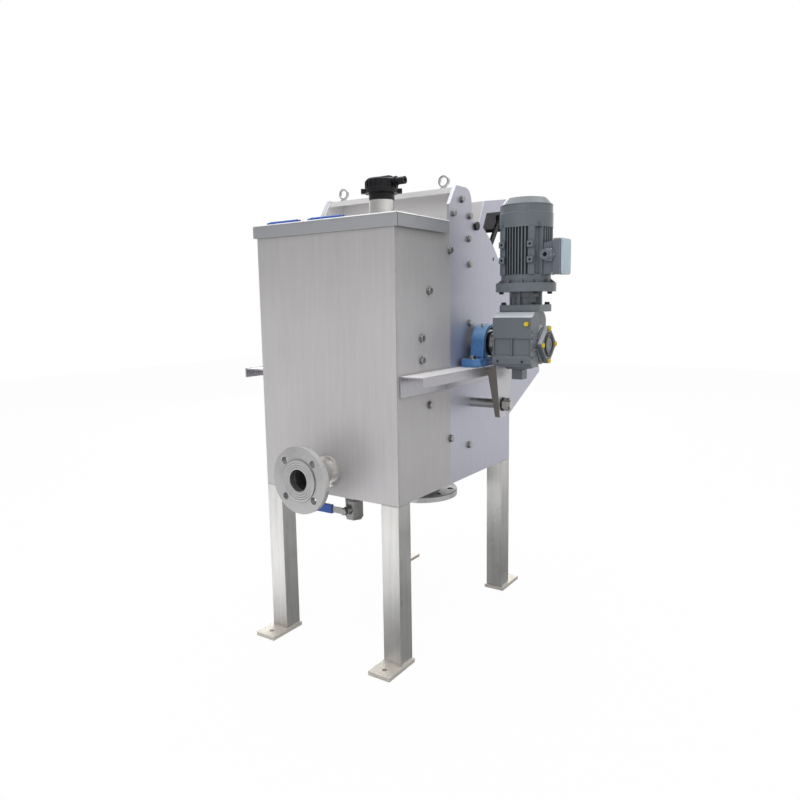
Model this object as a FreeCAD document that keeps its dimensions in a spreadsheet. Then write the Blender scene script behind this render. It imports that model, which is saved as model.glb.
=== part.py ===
import FreeCAD, Part
import math
import os
import Sketcher

# Rotary drum screen: a tank on four legs, a wedge-wire drum on a shaft across it,
# a shaft-mounted gearmotor, a lift-off lid and a hinged hood over the solids side.
# +X points along the drum shaft to the drive side, the inlet faces -Y, +Z is up.
# The origin is on the floor, in the middle of the four foot-plate holes.

Vector = FreeCAD.Vector
doc = FreeCAD.newDocument("RotaryDrumScreen")

# Driving dimensions in millimetres
dimensions = {
    "tank_width": 425,
    "tank_depth": 604,
    "tank_base": 409,
    "sheet": 3,
    "plate": 8,
    "rest_gap": 0.3,
    "leg_width": 50,
    "leg_wall": 3,
    "foot_thickness": 10,
    "foot_width": 62,
    "foot_reach": 59,
    "foot_inner": 2,
    "foot_hole": 14,
    "foot_hole_reach": 32,
    "lid_top": 1084.5,
    "lid_sheet": 2.5,
    "lid_lip": 31,
    "lid_side_overhang": 10.4,
    "lid_front_overhang": 3.4,
    "lid_rear": 73,
    "plate_front": 55,
    "crest_top": 1178,
    "crest_shoulder": 1128,
    "crest_front": 20,
    "crest_rear": 44,
    "crest_corner": 22,
    "crest_drop": 3,
    "crest_corner_bow": 1.5,
    "crest_slope_run": 7,
    "crest_slope_rise": 48,
    "crest_slope_bow": 5,
    "notch_shoulder_y": 69,
    "notch_shoulder_z": 1093,
    "guard_arc_y": -22,
    "guard_arc_z": 811.5,
    "guard_arc_radius": 311,
    "guard_arc_start": 124,
    "guard_arc_end": 231,
    "ear_tip_y": 530,
    "ear_tip_z": 669,
    "ear_lip": 14,
    "rear_fold": 547,
    "shaft_y": 83,
    "shaft_z": 773.2,
    "shaft_radius": 25,
    "output_radius": 20,
    "shaft_shoulder": 292,
    "shaft_hole_gap": 0.5,
    "running_gap": 0.05,
    "drum_radius": 250,
    "drum_half": 178,
    "wire_height": 5,
    "wire_width": 7,
    "wire_turns": 21,
    "rod_radius": 4,
    "rod_count": 16,
    "end_ring_width": 24,
    "end_ring_thickness": 6,
    "hub_radius": 42,
    "hub_length": 40,
    "spoke_width": 44,
    "spoke_thickness": 8,
    "spoke_count": 6,
    "ring_bolt_radius": 278.6,
    "ring_angle_1": 98,
    "ring_angle_2": 120,
    "ring_angle_3": 150,
    "ring_angle_4": 174.5,
    "seal_start": 95,
    "seal_lip": 16,
    "seal_thickness": 4,
    "seal_gap": 0.6,
    "clamp_half_width": 8,
    "bolt_head_radius": 8.5,
    "bolt_head_height": 6.4,
    "washer_radius": 10,
    "washer_thickness": 2,
    "bolt_radius": 5,
    "beam_rear": 45,
    "beam_sheet": 4,
    "beam_lip": 14,
    "beam_end_inset": 5,
    "lid_rest_reach": 12,
    "crest_bolt_inset": 17.5,
    "crest_bolt_drop": 70,
    "crest_bolt_middle": 7,
    "crest_bolt_rear": 49,
    "crest_bolt_top": 32,
    "wall_bolt_y": 48,
    "wall_bolt_high": 984,
    "wall_bolt_low": 829.4,
    "eye_spread": 165,
    "eye_rise": 21,
    "eye_ring_radius": 13.2,
    "eye_bar_radius": 4.2,
    "eye_collar_radius": 11,
    "eye_collar_height": 4,
    "baffle_y": 150,
    "baffle_shoulder": 600,
    "baffle_top": 655,
    "baffle_lip": 4,
    "baffle_seal_overlap": 30,
    "shelf_top": 716,
    "shelf_width": 65.5,
    "shelf_width_idle": 80,
    "shelf_front": 289,
    "shelf_rear": 190,
    "shelf_lip": 24,
    "shelf_wall_flange": 51,
    "inlet_x": -3,
    "inlet_z": 469,
    "inlet_face": 408.6,
    "inlet_pipe_radius": 30.15,
    "inlet_bore_radius": 27.25,
    "inlet_flange_radius": 82.5,
    "inlet_flange_thickness": 15,
    "inlet_bolt_circle": 125,
    "inlet_bolt_count": 4,
    "inlet_raised_radius": 51,
    "raised_face": 3,
    "inlet_collar_radius": 40,
    "inlet_collar_thickness": 4,
    "flange_hole": 18,
    "outlet_y": 130,
    "outlet_face": 308,
    "outlet_pipe_radius": 57.15,
    "outlet_bore_radius": 53.65,
    "outlet_flange_radius": 110,
    "outlet_flange_thickness": 16,
    "outlet_bolt_circle": 180,
    "outlet_bolt_count": 8,
    "outlet_raised_radius": 79,
    "drain_x": 36,
    "drain_inset": 57,
    "drain_z": 366,
    "drain_bore_radius": 12.5,
    "drain_ball_radius": 17,
    "drain_ball_flat": 1,
    "drain_body_radius": 22.5,
    "drain_body_wall": 5,
    "drain_hex_radius": 22,
    "drain_top": 399,
    "drain_bottom": 339,
    "drain_nipple_radius": 16.85,
    "drain_thread_radius": 15.3,
    "drain_thread_length": 17,
    "drain_outlet_thread": 9,
    "drain_stem_radius": 6,
    "drain_lever_reach": 36,
    "drain_lever_length": 131,
    "drain_lever_end": 12,
    "drain_lever_gap": 2,
    "drain_lever_width": 16,
    "drain_lever_thickness": 3,
    "drain_sleeve_length": 90,
    "drain_sleeve_wall": 3,
    "drain_nut_radius": 9,
    "drain_nut_height": 7,
    "sensor_x": 105,
    "sensor_inset": 107,
    "sensor_stub_radius": 30.15,
    "sensor_stub_top": 1130,
    "sensor_sleeve_top": 1146,
    "sensor_ring_radius": 41,
    "sensor_ring_top": 1157,
    "sensor_lug_reach": 49.5,
    "sensor_lug_length": 16,
    "sensor_lug_width": 14,
    "sensor_lug_turn": 35,
    "sensor_head_radius": 38,
    "sensor_head_top": 1180,
    "sensor_head_chamfer": 3,
    "sensor_rib_count": 20,
    "sensor_rib_depth": 2.5,
    "sensor_rib_width": 4,
    "sensor_bridge_width": 18,
    "sensor_bridge_height": 5,
    "sensor_gland_z": 1171,
    "sensor_gland_reach": 33,
    "sensor_gland_radius": 9,
    "gland_socket": 6,
    "handle_inset": 40,
    "handle_left_x": -156,
    "handle_right_x": -16,
    "handle_length": 112,
    "handle_rise": 7.5,
    "handle_radius": 4,
    "handle_sleeve_radius": 5.5,
    "hinge_y": 85,
    "hinge_z": 1085,
    "hinge_radius": 10,
    "hinge_gap": 0.1,
    "cap_radius": 11.5,
    "cap_length": 7,
    "hood_sheet": 2,
    "hood_front_y": 115,
    "hood_fold_y": 153,
    "hood_fold_z": 1159,
    "hood_rear_y": 296,
    "hood_rear_top": 1180,
    "hood_rear_bottom": 1098,
    "hood_rear_lean": 8,
    "hood_flange": 26,
    "hood_top_flange": 33,
    "hood_side_gap": 1,
    "hood_edge": 8,
    "ear_radius": 19,
    "stay_x": 186,
    "stay_radius": 7.5,
    "stay_foot_y": 191,
    "stay_foot_z": 1003,
    "stay_pivot_y": 285,
    "stay_pivot_z": 1125,
    "stay_eye_radius": 11,
    "stay_pin_radius": 5,
    "stay_pin_end": 2,
    "blade_angle": 10,
    "blade_gap": 0.6,
    "blade_thickness": 5,
    "blade_length": 37,
    "blade_slope": 38,
    "holder_radius": 7,
    "chute_start": 374,
    "chute_drop": 12,
    "housing_x": 246,
    "housing_width": 60,
    "housing_foot": 206,
    "housing_foot_height": 21,
    "housing_dome_radius": 53,
    "housing_dome_width": 40,
    "housing_web_spread": 10,
    "housing_round": 4,
    "housing_bolt_spacing": 159,
    "bearing_outer_radius": 45,
    "bearing_race_radius": 33,
    "bearing_width": 26,
    "bearing_inner_length": 51,
    "case_inner_x": 306,
    "case_outer_x": 411,
    "case_body_x": 388,
    "case_front": 0,
    "case_front_depth": 46,
    "case_rear": 150,
    "case_rear_round": 22,
    "case_base": 719,
    "case_top": 857,
    "case_brow": 13,
    "case_brow_depth": 20,
    "case_brow_sag": 3,
    "case_chamfer": 9,
    "case_ridge": 744,
    "case_band": 2.5,
    "case_hub_root": 54,
    "case_hub_end": 46,
    "panel_depth": 4,
    "panel_gap": 3,
    "panel_height": 45,
    "cover_x": 343,
    "cover_radius": 36,
    "cover_height": 9,
    "cover_boss": 30,
    "cover_boss_height": 29,
    "sleeve_radius": 27,
    "sleeve_reach": 14,
    "output_cover_radius": 52,
    "output_cover_thickness": 13,
    "output_cover_round": 9,
    "output_bolt_radius": 41.5,
    "output_cap_radius": 6,
    "output_cap_height": 4,
    "plug_radius": 6,
    "plug_height": 6,
    "plug_inset": 12,
    "plug_drop": 29,
    "motor_x": 359,
    "adapter_size": 110,
    "adapter_round": 20,
    "adapter_plate": 18,
    "adapter_neck": 33,
    "adapter_bolt_inset": 13,
    "neck_radius": 34,
    "neck_collar_radius": 39,
    "neck_collar": 13,
    "neck_rib": 7,
    "neck_rib_reach": 44,
    "motor_flange_radius": 77,
    "motor_flange_thickness": 22,
    "motor_flange_bolts": 66,
    "bell_radius": 63.5,
    "bell_height": 21,
    "motor_core_radius": 57,
    "motor_fin_radius": 66.5,
    "fin_pitch": 8,
    "fins_each_side": 4,
    "fin_thickness": 2.6,
    "fin_height": 116,
    "pad_spread": 38,
    "pad_reach": 66,
    "pad_size": 15,
    "pad_depth": 20,
    "pad_rise": 56,
    "pad_spacing": 38,
    "pad_hole": 3,
    "post_width": 13,
    "post_reach": 68.5,
    "cowl_radius": 67,
    "cowl_wall": 2,
    "cowl_step": 1.5,
    "cowl_skirt": 36,
    "cowl_height": 56,
    "cowl_crown": 18,
    "cowl_top_radius": 50,
    "cowl_lip": 6,
    "grille_slots": 16,
    "grille_slot_width": 5,
    "grille_inner": 13,
    "grille_outer": 46,
    "rotor_radius": 12,
    "fan_radius": 57,
    "fan_blades": 6,
    "fan_lift": 13,
    "fan_height": 26,
    "fan_sheet": 3,
    "fan_hub": 8,
    "terminal_outer_x": 468,
    "terminal_front": 50,
    "terminal_rear": 116,
    "terminal_rise": 19,
    "terminal_height": 88,
    "terminal_lid": 9,
    "terminal_body": 15,
    "terminal_round": 6,
    "terminal_neck": 60,
    "terminal_neck_drop": 14,
    "terminal_gland_rise": 48,
    "terminal_gland_inset": 27,
    "terminal_gland_radius": 13,
    "terminal_gland_length": 22,
    "cable_radius": 5.5,
    "arm_thickness": 8,
    "arm_tip": 580,
    "arm_top": 800,
    "arm_inset": 20,
    "arm_window": 36,
    "arm_flange": 4,
    "arm_flange_width": 19,
    "arm_flange_tip": 6,
    "arm_flange_drop": 8,
    "arm_tip_front": 44,
    "arm_tip_rear": 78,
    "rod_y": 60,
    "rod_z": 614,
    "torque_rod_radius": 12.5,
    "torque_bush_radius": 15,
    "torque_bush_flange": 4,
    "torque_bush_rim": 3,
    "torque_nut_radius": 17.3,
    "torque_nut_height": 18,
    "torque_rod_end": 4,
}

sheet = doc.addObject("Spreadsheet::Sheet", "dim")
for row, (alias, size) in enumerate(dimensions.items(), start=1):
    sheet.set(f"A{row}", alias)
    sheet.set(f"B{row}", str(size))
    sheet.setAlias(f"B{row}", alias)
doc.recompute()

pieces = []


def val(text):
    """Number that an expression on the sheet gives."""
    return float(sheet.evalExpression(str(text)))


def keep(label, item):
    """Name an object as one piece of the machine."""
    item.Label = label
    pieces.append(item)
    return item


def bind(item, **links):
    """Tie properties to sheet expressions, with place_x for Placement.Base.x."""
    for prop, text in links.items():
        path = prop.replace("place_", "Placement.Base.")
        item.setExpression(path, str(text))
    return item


def block(name, x, y, z):
    """Rectangular block between two expressions on each axis."""
    item = doc.addObject("Part::Box", name)
    return bind(
        item,
        Length=f"({x[1]}) - ({x[0]})",
        Width=f"({y[1]}) - ({y[0]})",
        Height=f"({z[1]}) - ({z[0]})",
        place_x=x[0],
        place_y=y[0],
        place_z=z[0],
    )


def round_bar(name, axis, span, across, radius):
    """Cylinder along an axis; across holds its two other coordinates in X, Y, Z order."""
    item = doc.addObject("Part::Cylinder", name)
    turns = {"x": (Vector(0, 1, 0), 90), "y": (Vector(1, 0, 0), -90), "z": (Vector(0, 0, 1), 0)}
    item.Placement = FreeCAD.Placement(Vector(), FreeCAD.Rotation(*turns[axis]))
    others = [letter for letter in "xyz" if letter != axis]
    places = {f"place_{others[0]}": across[0], f"place_{others[1]}": across[1], f"place_{axis}": span[0]}
    return bind(item, Radius=radius, Height=f"({span[1]}) - ({span[0]})", **places)


def six_sided(name, axis, span, across, corner):
    """Hexagonal prism along an axis, by its corner radius."""
    item = doc.addObject("Part::Prism", name)
    turns = {"x": (Vector(0, 1, 0), 90), "y": (Vector(1, 0, 0), -90), "z": (Vector(0, 0, 1), 0)}
    item.Placement = FreeCAD.Placement(Vector(), FreeCAD.Rotation(*turns[axis]))
    item.Polygon = 6
    others = [letter for letter in "xyz" if letter != axis]
    places = {f"place_{others[0]}": across[0], f"place_{others[1]}": across[1], f"place_{axis}": span[0]}
    return bind(item, Circumradius=corner, Height=f"({span[1]}) - ({span[0]})", **places)


def cut(name, base, *tools):
    """Take every tool away from the base."""
    item = doc.addObject("Part::Cut", name)
    item.Base = base
    item.Tool = tools[0] if len(tools) == 1 else fuse(f"{name}_tools", *tools)
    return item


def fuse(name, *shapes):
    """Join shapes into one solid."""
    item = doc.addObject("Part::MultiFuse", name)
    item.Shapes = list(shapes)
    return item


def rounded_block(x, y, z, axis, radius):
    """Shape of a block whose four edges along an axis are rounded."""
    low = Vector(*[val(span[0]) for span in (x, y, z)])
    high = Vector(*[val(span[1]) for span in (x, y, z)])
    size = high - low
    shape = Part.makeBox(size.x, size.y, size.z, low)
    length = getattr(size, axis)
    along = f"{axis.upper()}Length"
    return shape.makeFillet(val(radius), [
        edge for edge in shape.Edges if getattr(edge.BoundBox, along) > length / 2])


def pipe(name, axis, span, across, outer, inner):
    """Hollow round bar."""
    shell = round_bar(f"{name}_outside", axis, span, across, outer)
    bore = round_bar(f"{name}_bore", axis, span, across, inner)
    return cut(name, shell, bore)


def feature(name, shape):
    """Piece whose form comes from the sheet's numbers through Part's own functions."""
    item = doc.addObject("Part::Feature", name)
    item.Shape = shape
    return item


def draw_loop(sketch, loop):
    """Draw a circle ("circle", u, v, radius) or a closed outline of (u, v) corners."""
    if loop[0] == "circle":
        centre, radius = Vector(val(loop[1]), val(loop[2]), 0), val(loop[3])
        edge = sketch.addGeometry(Part.Circle(centre, Vector(0, 0, 1), radius), False)
        links = [
            (Sketcher.Constraint("Radius", edge, radius), loop[3]),
            (Sketcher.Constraint("DistanceX", -1, 1, edge, 3, centre.x), loop[1]),
            (Sketcher.Constraint("DistanceY", -1, 1, edge, 3, centre.y), loop[2]),
        ]
    else:
        corners = [Vector(val(u), val(v), 0) for u, v in loop]
        first = sketch.GeometryCount
        for here, there in zip(corners, corners[1:] + corners[:1]):
            sketch.addGeometry(Part.LineSegment(here, there), False)
        links = []
        for step, (corner, (u, v)) in enumerate(zip(corners, loop)):
            following = first + (step + 1) % len(loop)
            sketch.addConstraint(Sketcher.Constraint("Coincident", first + step, 2, following, 1))
            links.append((Sketcher.Constraint("DistanceX", -1, 1, first + step, 1, corner.x), u))
            links.append((Sketcher.Constraint("DistanceY", -1, 1, first + step, 1, corner.y), v))
    for constraint, text in links:
        index = sketch.addConstraint(constraint)
        sketch.setExpression(f"Constraints[{index}]", str(text))


def sketch_on(body, name, plane):
    """Sketch on one of the body's own origin planes."""
    sketch = body.newObject("Sketcher::SketchObject", name)
    origin_plane = [part for part in body.Origin.OriginFeatures if part.Role == plane][0]
    sketch.AttachmentSupport = [(origin_plane, "")]
    sketch.MapMode = "FlatFace"
    return sketch


def extruded(name, axis, span, *loops):
    """Body padded along an axis from outlines in the other two axes, in X, Y, Z order."""
    body = doc.addObject("PartDesign::Body", name)
    plane = {"x": "YZ_Plane", "y": "XZ_Plane", "z": "XY_Plane"}[axis]
    sketch = sketch_on(body, f"{name}_outline", plane)
    for loop in loops:
        draw_loop(sketch, loop)
    pad = body.newObject("PartDesign::Pad", f"{name}_pad")
    pad.Profile = sketch
    pad.setExpression("Length", f"({span[1]}) - ({span[0]})")
    start = span[1] if axis == "y" else span[0]
    bind(body, **{f"place_{axis}": start})
    return body


def turned(name, axis, across, profile):
    """Solid turned about an axis from (distance along, radius) corners."""
    lie = {"x": Vector(1, 0, 0), "y": Vector(0, 1, 0), "z": Vector(0, 0, 1)}[axis]
    out = {"x": Vector(0, 1, 0), "y": Vector(0, 0, 1), "z": Vector(1, 0, 0)}[axis]
    centre = {
        "x": lambda: Vector(0, val(across[0]), val(across[1])),
        "y": lambda: Vector(val(across[0]), 0, val(across[1])),
        "z": lambda: Vector(val(across[0]), val(across[1]), 0),
    }[axis]()
    points = [centre + lie * val(along) + out * val(radius) for along, radius in profile]
    face = Part.Face(Part.makePolygon(points + points[:1]))
    return feature(name, face.revolve(centre, lie, 360))


def group(label, *items):
    """Node that holds several separate solids of one kind."""
    compound = doc.addObject("Part::Compound", label)
    compound.Links = list(items)
    return keep(label, compound)


def side_span(side, inner, outer):
    """Span between two distances from the middle, on the drive (+1) or idle (-1) side."""
    if side > 0:
        return (inner, outer)
    return (f"-({outer})", f"-({inner})")


half_width = "dim.tank_width / 2"
half_depth = "dim.tank_depth / 2"
plate_inner = f"{half_width} - dim.plate"
floor_top = "dim.tank_base + dim.sheet"
lid_underside = "dim.lid_top - dim.lid_sheet"
wall_top = f"{lid_underside} - dim.rest_gap"
shaft = ("dim.shaft_y", "dim.shaft_z")
sides = {"drive": 1, "idle": -1}

# Legs of square tube, each on a foot plate with one floor bolt hole
leg_inset = "dim.leg_width / 2"
legs = []
foot_plates = []
for place, along in {"front": -1, "rear": 1}.items():
    for side_name, side in sides.items():
        leg_x = f"{side} * ({half_width} - {leg_inset})"
        leg_y = f"{along} * ({half_depth} - {leg_inset})"
        name = f"leg_{place}_{side_name}"
        outlines = []
        for reach in (leg_inset, f"({leg_inset} - dim.leg_wall)"):
            outlines.append([
                (f"{leg_x} - {reach}", f"{leg_y} - {reach}"),
                (f"{leg_x} + {reach}", f"{leg_y} - {reach}"),
                (f"{leg_x} + {reach}", f"{leg_y} + {reach}"),
                (f"{leg_x} - {reach}", f"{leg_y} + {reach}"),
            ])
        legs.append(extruded(name, "z", ("dim.foot_thickness", "dim.tank_base"), *outlines))
        name = f"foot_plate_{place}_{side_name}"
        far = f"{along} * ({half_depth} + dim.foot_reach)"
        near = f"{along} * ({half_depth} - dim.leg_width - dim.foot_inner)"
        hole_y = f"{along} * ({half_depth} + dim.foot_hole_reach)"
        foot_plates.append(extruded(
            name, "z", ("0", "dim.foot_thickness"),
            [
                (f"{leg_x} - dim.foot_width / 2", near),
                (f"{leg_x} + dim.foot_width / 2", near),
                (f"{leg_x} + dim.foot_width / 2", far),
                (f"{leg_x} - dim.foot_width / 2", far),
            ],
            ("circle", leg_x, hole_y, "dim.foot_hole / 2"),
        ))
group("legs", *legs)
group("foot_plates", *foot_plates)

# Headbox: front panel, thin side sheets, floor and folded rear panel
front_inner = f"{half_depth} - dim.sheet"
drain_y = f"dim.drain_inset - {half_depth}"
sheet_inner = f"{half_width} - dim.sheet"
keep("front_panel", cut(
    "front_panel",
    block("front_panel_sheet", (f"-({half_width})", half_width),
          (f"-({half_depth})", f"-({front_inner})"), ("dim.tank_base", wall_top)),
    round_bar("front_panel_bore", "y", (f"-({half_depth})", f"-({front_inner})"),
              ("dim.inlet_x", "dim.inlet_z"), "dim.inlet_pipe_radius"),
))
group("headbox_sides", *[
    block(f"headbox_side_{side_name}", side_span(side, sheet_inner, half_width),
          (f"-({front_inner})", "-dim.plate_front"), ("dim.tank_base", wall_top))
    for side_name, side in sides.items()])
floor_sheet = extruded(
    "tank_floor_sheet", "z", ("dim.tank_base", floor_top),
    [
        (f"-({sheet_inner})", f"-({front_inner})"),
        (sheet_inner, f"-({front_inner})"),
        (sheet_inner, "-dim.plate_front"),
        (plate_inner, "-dim.plate_front"),
        (plate_inner, f"{half_depth}"),
        (f"-({plate_inner})", f"{half_depth}"),
        (f"-({plate_inner})", "-dim.plate_front"),
        (f"-({sheet_inner})", "-dim.plate_front"),
    ],
    ("circle", "0", "dim.outlet_y", "dim.outlet_pipe_radius"),
    ("circle", "dim.drain_x", drain_y, "dim.drain_bore_radius"),
)
drain_axis = ("dim.drain_x", drain_y)
drain_nipple = pipe("drain_nipple", "z", ("dim.drain_top - dim.drain_thread_length", "dim.tank_base"),
                    drain_axis, "dim.drain_nipple_radius", "dim.drain_bore_radius")
keep("tank_floor", fuse("tank_floor", floor_sheet, drain_nipple))


def sheet_profile(line, thickness):
    """Closed outline of a bent sheet from its outer line, thickened to the left of travel."""
    points = [Vector(u, v, 0) for u, v in line]
    normals = []
    for here, there in zip(points, points[1:]):
        way = (there - here).normalize()
        normals.append(Vector(-way.y, way.x, 0))
    inner = [points[0] + normals[0] * thickness]
    for corner, before, after in zip(points[1:-1], normals, normals[1:]):
        middle = (before + after).normalize()
        inner.append(corner + middle * (thickness / middle.dot(before)))
    inner.append(points[-1] + normals[-1] * thickness)
    return points + inner[::-1]


def bent_sheet(name, line, thickness, low, high):
    """Sheet bent along a (y, z) line and running across the machine in X."""
    outline = [Vector(low, point.x, point.y) for point in sheet_profile(line, thickness)]
    face = Part.Face(Part.makePolygon(outline + outline[:1]))
    return feature(name, face.extrude(Vector(high - low, 0, 0)))


rear_y = val(half_depth)
inner_x = val(plate_inner)
ear_y, ear_z = val("dim.ear_tip_y"), val("dim.ear_tip_z")
keep("rear_panel", bent_sheet(
    "rear_panel",
    [(rear_y, val(floor_top)), (rear_y, val("dim.rear_fold")), (ear_y, ear_z - val("dim.ear_lip"))],
    val("dim.sheet"), -inner_x, inner_x,
))

# Thick side plates: crest over the beam, notch for the hinge rod, round guard edge, rear ear
arc_centre = Vector(val("dim.guard_arc_y"), val("dim.guard_arc_z"), 0)
arc_radius = val("dim.guard_arc_radius")


def on_guard_arc(y):
    """Point of the round guard edge at a given Y."""
    return Vector(y, arc_centre.y + math.sqrt(arc_radius ** 2 - (y - arc_centre.x) ** 2), 0)


def bowed(here, there, bow):
    """Middle of an arc between two points that swells by bow to the left of travel."""
    way = (there - here).normalize()
    return (here + there) * 0.5 + Vector(-way.y, way.x, 0) * bow


def side_plate_face():
    """Outline of a side plate in (y, z), with its round stretches as arcs."""
    front = -val("dim.plate_front")
    top = val("dim.crest_top")
    notch = Vector(val("dim.hinge_y"), val("dim.hinge_z"), 0)
    notch_radius = val("dim.hinge_radius + dim.hinge_gap")
    start = on_guard_arc(val("dim.guard_arc_start"))
    end = on_guard_arc(val("dim.guard_arc_end"))
    middle = on_guard_arc((start.x + end.x) / 2)
    crest_rear = Vector(val("dim.crest_rear"), top - val("dim.crest_drop"), 0)
    shoulder = Vector(val("dim.notch_shoulder_y"), val("dim.notch_shoulder_z"), 0)
    crest_end = Vector(crest_rear.x - val("dim.crest_corner"), top, 0)
    crest_bend = bowed(crest_end, crest_rear, val("dim.crest_corner_bow"))
    slope_point = shoulder + Vector(-val("dim.crest_slope_run"), val("dim.crest_slope_rise"), 0)
    slope_bend = bowed(crest_rear, slope_point, val("dim.crest_slope_bow"))
    notch_left = notch + Vector(-notch_radius, 0, 0)
    notch_right = notch + Vector(notch_radius, 0, 0)
    notch_low = notch + Vector(0, -notch_radius, 0)
    shelf_left = Vector(notch_left.x, shoulder.y, 0)
    tip = Vector(ear_y, ear_z, 0)
    tip_low = Vector(ear_y, ear_z - val("dim.ear_lip"), 0)
    fold = Vector(rear_y, val("dim.rear_fold"), 0)
    foot_rear = Vector(rear_y, val("dim.tank_base"), 0)
    foot_front = Vector(front, val("dim.tank_base"), 0)
    slant_low = Vector(front, val("dim.crest_shoulder"), 0)
    slant_high = Vector(-val("dim.crest_front"), top, 0)

    def line(here, there):
        return Part.LineSegment(here, there).toShape()

    def arc(here, through, there):
        return Part.Arc(here, through, there).toShape()

    edges = [
        line(foot_front, slant_low),
        line(slant_low, slant_high),
        line(slant_high, crest_end),
        arc(crest_end, crest_bend, crest_rear),
        arc(crest_rear, slope_bend, slope_point),
        line(slope_point, shoulder),
        line(shoulder, shelf_left),
        line(shelf_left, notch_left),
        arc(notch_left, notch_low, notch_right),
        line(notch_right, start),
        arc(start, middle, end),
        line(end, tip),
        line(tip, tip_low),
        line(tip_low, fold),
        line(fold, foot_rear),
        line(foot_rear, foot_front),
    ]
    return Part.Face(Part.Wire(edges))


plate_holes = [
    (val("dim.shaft_y"), val("dim.shaft_z"), val("dim.shaft_radius + dim.shaft_hole_gap")),
    (val("dim.stay_foot_y"), val("dim.stay_foot_z"), val("dim.bolt_radius")),
]
standing = FreeCAD.Rotation(Vector(1, 1, 1), 120)
for side_name, side in sides.items():
    low = val(plate_inner) if side > 0 else -val(half_width)
    face = side_plate_face()
    face.Placement = FreeCAD.Placement(Vector(low, 0, 0), standing)
    plate_shape = face.extrude(Vector(val("dim.plate"), 0, 0))
    for hole_y, hole_z, radius in plate_holes:
        drill = Part.makeCylinder(radius, val("dim.plate"), Vector(low, hole_y, hole_z), Vector(1, 0, 0))
        plate_shape = plate_shape.cut(drill)
    name = f"side_plate_{side_name}"
    keep(name, feature(name, plate_shape))

# Cross beam: a channel open to the front whose foot carries the lid, with an end plate at each side plate
across = (f"-({plate_inner})", plate_inner)
beam_top = "dim.crest_top - dim.beam_sheet"
beam_under = f"{beam_top} - dim.beam_sheet"
rest_front = "-dim.lid_rear - dim.lid_rest_reach"
beam_profile = extruded(
    "cross_beam_profile", "x", across,
    [
        (rest_front, f"{wall_top} - dim.beam_sheet"),
        ("dim.beam_rear", f"{wall_top} - dim.beam_sheet"),
        ("dim.beam_rear", beam_top),
        ("-dim.crest_front", beam_top),
        ("-dim.crest_front", f"{beam_top} - dim.beam_lip"),
        ("-dim.crest_front + dim.beam_sheet", f"{beam_top} - dim.beam_lip"),
        ("-dim.crest_front + dim.beam_sheet", beam_under),
        ("dim.beam_rear - dim.beam_sheet", beam_under),
        ("dim.beam_rear - dim.beam_sheet", wall_top),
        (rest_front, wall_top),
    ],
)
end_front = "-dim.plate_front + dim.beam_end_inset"
end_inner = f"{plate_inner} - dim.beam_sheet"
beam_ends = [
    extruded(f"cross_beam_end_{side_name}", "x", side_span(side, end_inner, plate_inner), [
        (end_front, wall_top), ("dim.beam_rear", wall_top), ("dim.beam_rear", beam_top),
        ("-dim.crest_front", beam_top), (end_front, "dim.crest_shoulder")])
    for side_name, side in sides.items()]
keep("cross_beam", fuse("cross_beam", beam_profile, *beam_ends))
eyes = []
for side_name, side in sides.items():
    middle = Vector(side * val("dim.eye_spread"), 0, val(f"{beam_top} + dim.eye_rise"))
    ring = Part.makeTorus(val("dim.eye_ring_radius"), val("dim.eye_bar_radius"), middle, Vector(0, 1, 0))
    seat = Vector(middle.x, 0, val(beam_top))
    collar = Part.makeCylinder(val("dim.eye_collar_radius"), val("dim.eye_collar_height"), seat)
    neck_top = middle.z - val("dim.eye_ring_radius")
    neck = Part.makeCylinder(val("dim.eye_bar_radius + 1"), neck_top - seat.z, seat)
    eyes.append(ring.fuse([collar, neck]).removeSplitter())
keep("lifting_eyes", feature("lifting_eyes", Part.makeCompound(eyes)))

# Baffle under the drum, with a rubber strip that closes the gap to the drum
baffle_tip = "dim.shaft_z - sqrt((dim.drum_radius + dim.seal_gap)^2 - (dim.baffle_y + dim.shaft_y)^2)"
lip_inner = "dim.drum_half - dim.seal_lip - dim.rest_gap"
keep("baffle", extruded("baffle", "y", ("-dim.baffle_y", "-dim.baffle_y + dim.sheet"), [
    (f"-({plate_inner})", floor_top), (plate_inner, floor_top),
    (plate_inner, "dim.baffle_shoulder"), (lip_inner, "dim.baffle_shoulder"),
    (lip_inner, "dim.baffle_top"), (f"-({lip_inner})", "dim.baffle_top"),
    (f"-({lip_inner})", "dim.baffle_shoulder"), (f"-({plate_inner})", "dim.baffle_shoulder")]))
keep("baffle_seal", block(
    "baffle_seal", (f"-({lip_inner})", lip_inner), ("-dim.baffle_y - dim.baffle_lip", "-dim.baffle_y"),
    ("dim.baffle_top - dim.baffle_seal_overlap", baffle_tip)))

# Shelves along both walls, folded down at the wall and at the outer edge
shelves = []
for side_name, side in sides.items():
    width = "dim.shelf_width" if side > 0 else "dim.shelf_width_idle"
    corners = [
        (half_width, "dim.shelf_top"),
        (f"{half_width} + {width}", "dim.shelf_top"),
        (f"{half_width} + {width}", "dim.shelf_top - dim.shelf_lip"),
        (f"{half_width} + {width} - dim.sheet", "dim.shelf_top - dim.shelf_lip"),
        (f"{half_width} + {width} - dim.sheet", "dim.shelf_top - dim.sheet"),
        (f"{half_width} + dim.sheet", "dim.shelf_top - dim.sheet"),
        (f"{half_width} + dim.sheet", "dim.shelf_top - dim.shelf_wall_flange"),
        (half_width, "dim.shelf_top - dim.shelf_wall_flange"),
    ]
    shelves.append(extruded(f"shelf_{side_name}", "y", ("-dim.shelf_front", "dim.shelf_rear"),
                            [(f"{side} * ({u})", v) for u, v in corners]))
group("shelves", *shelves)


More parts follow.
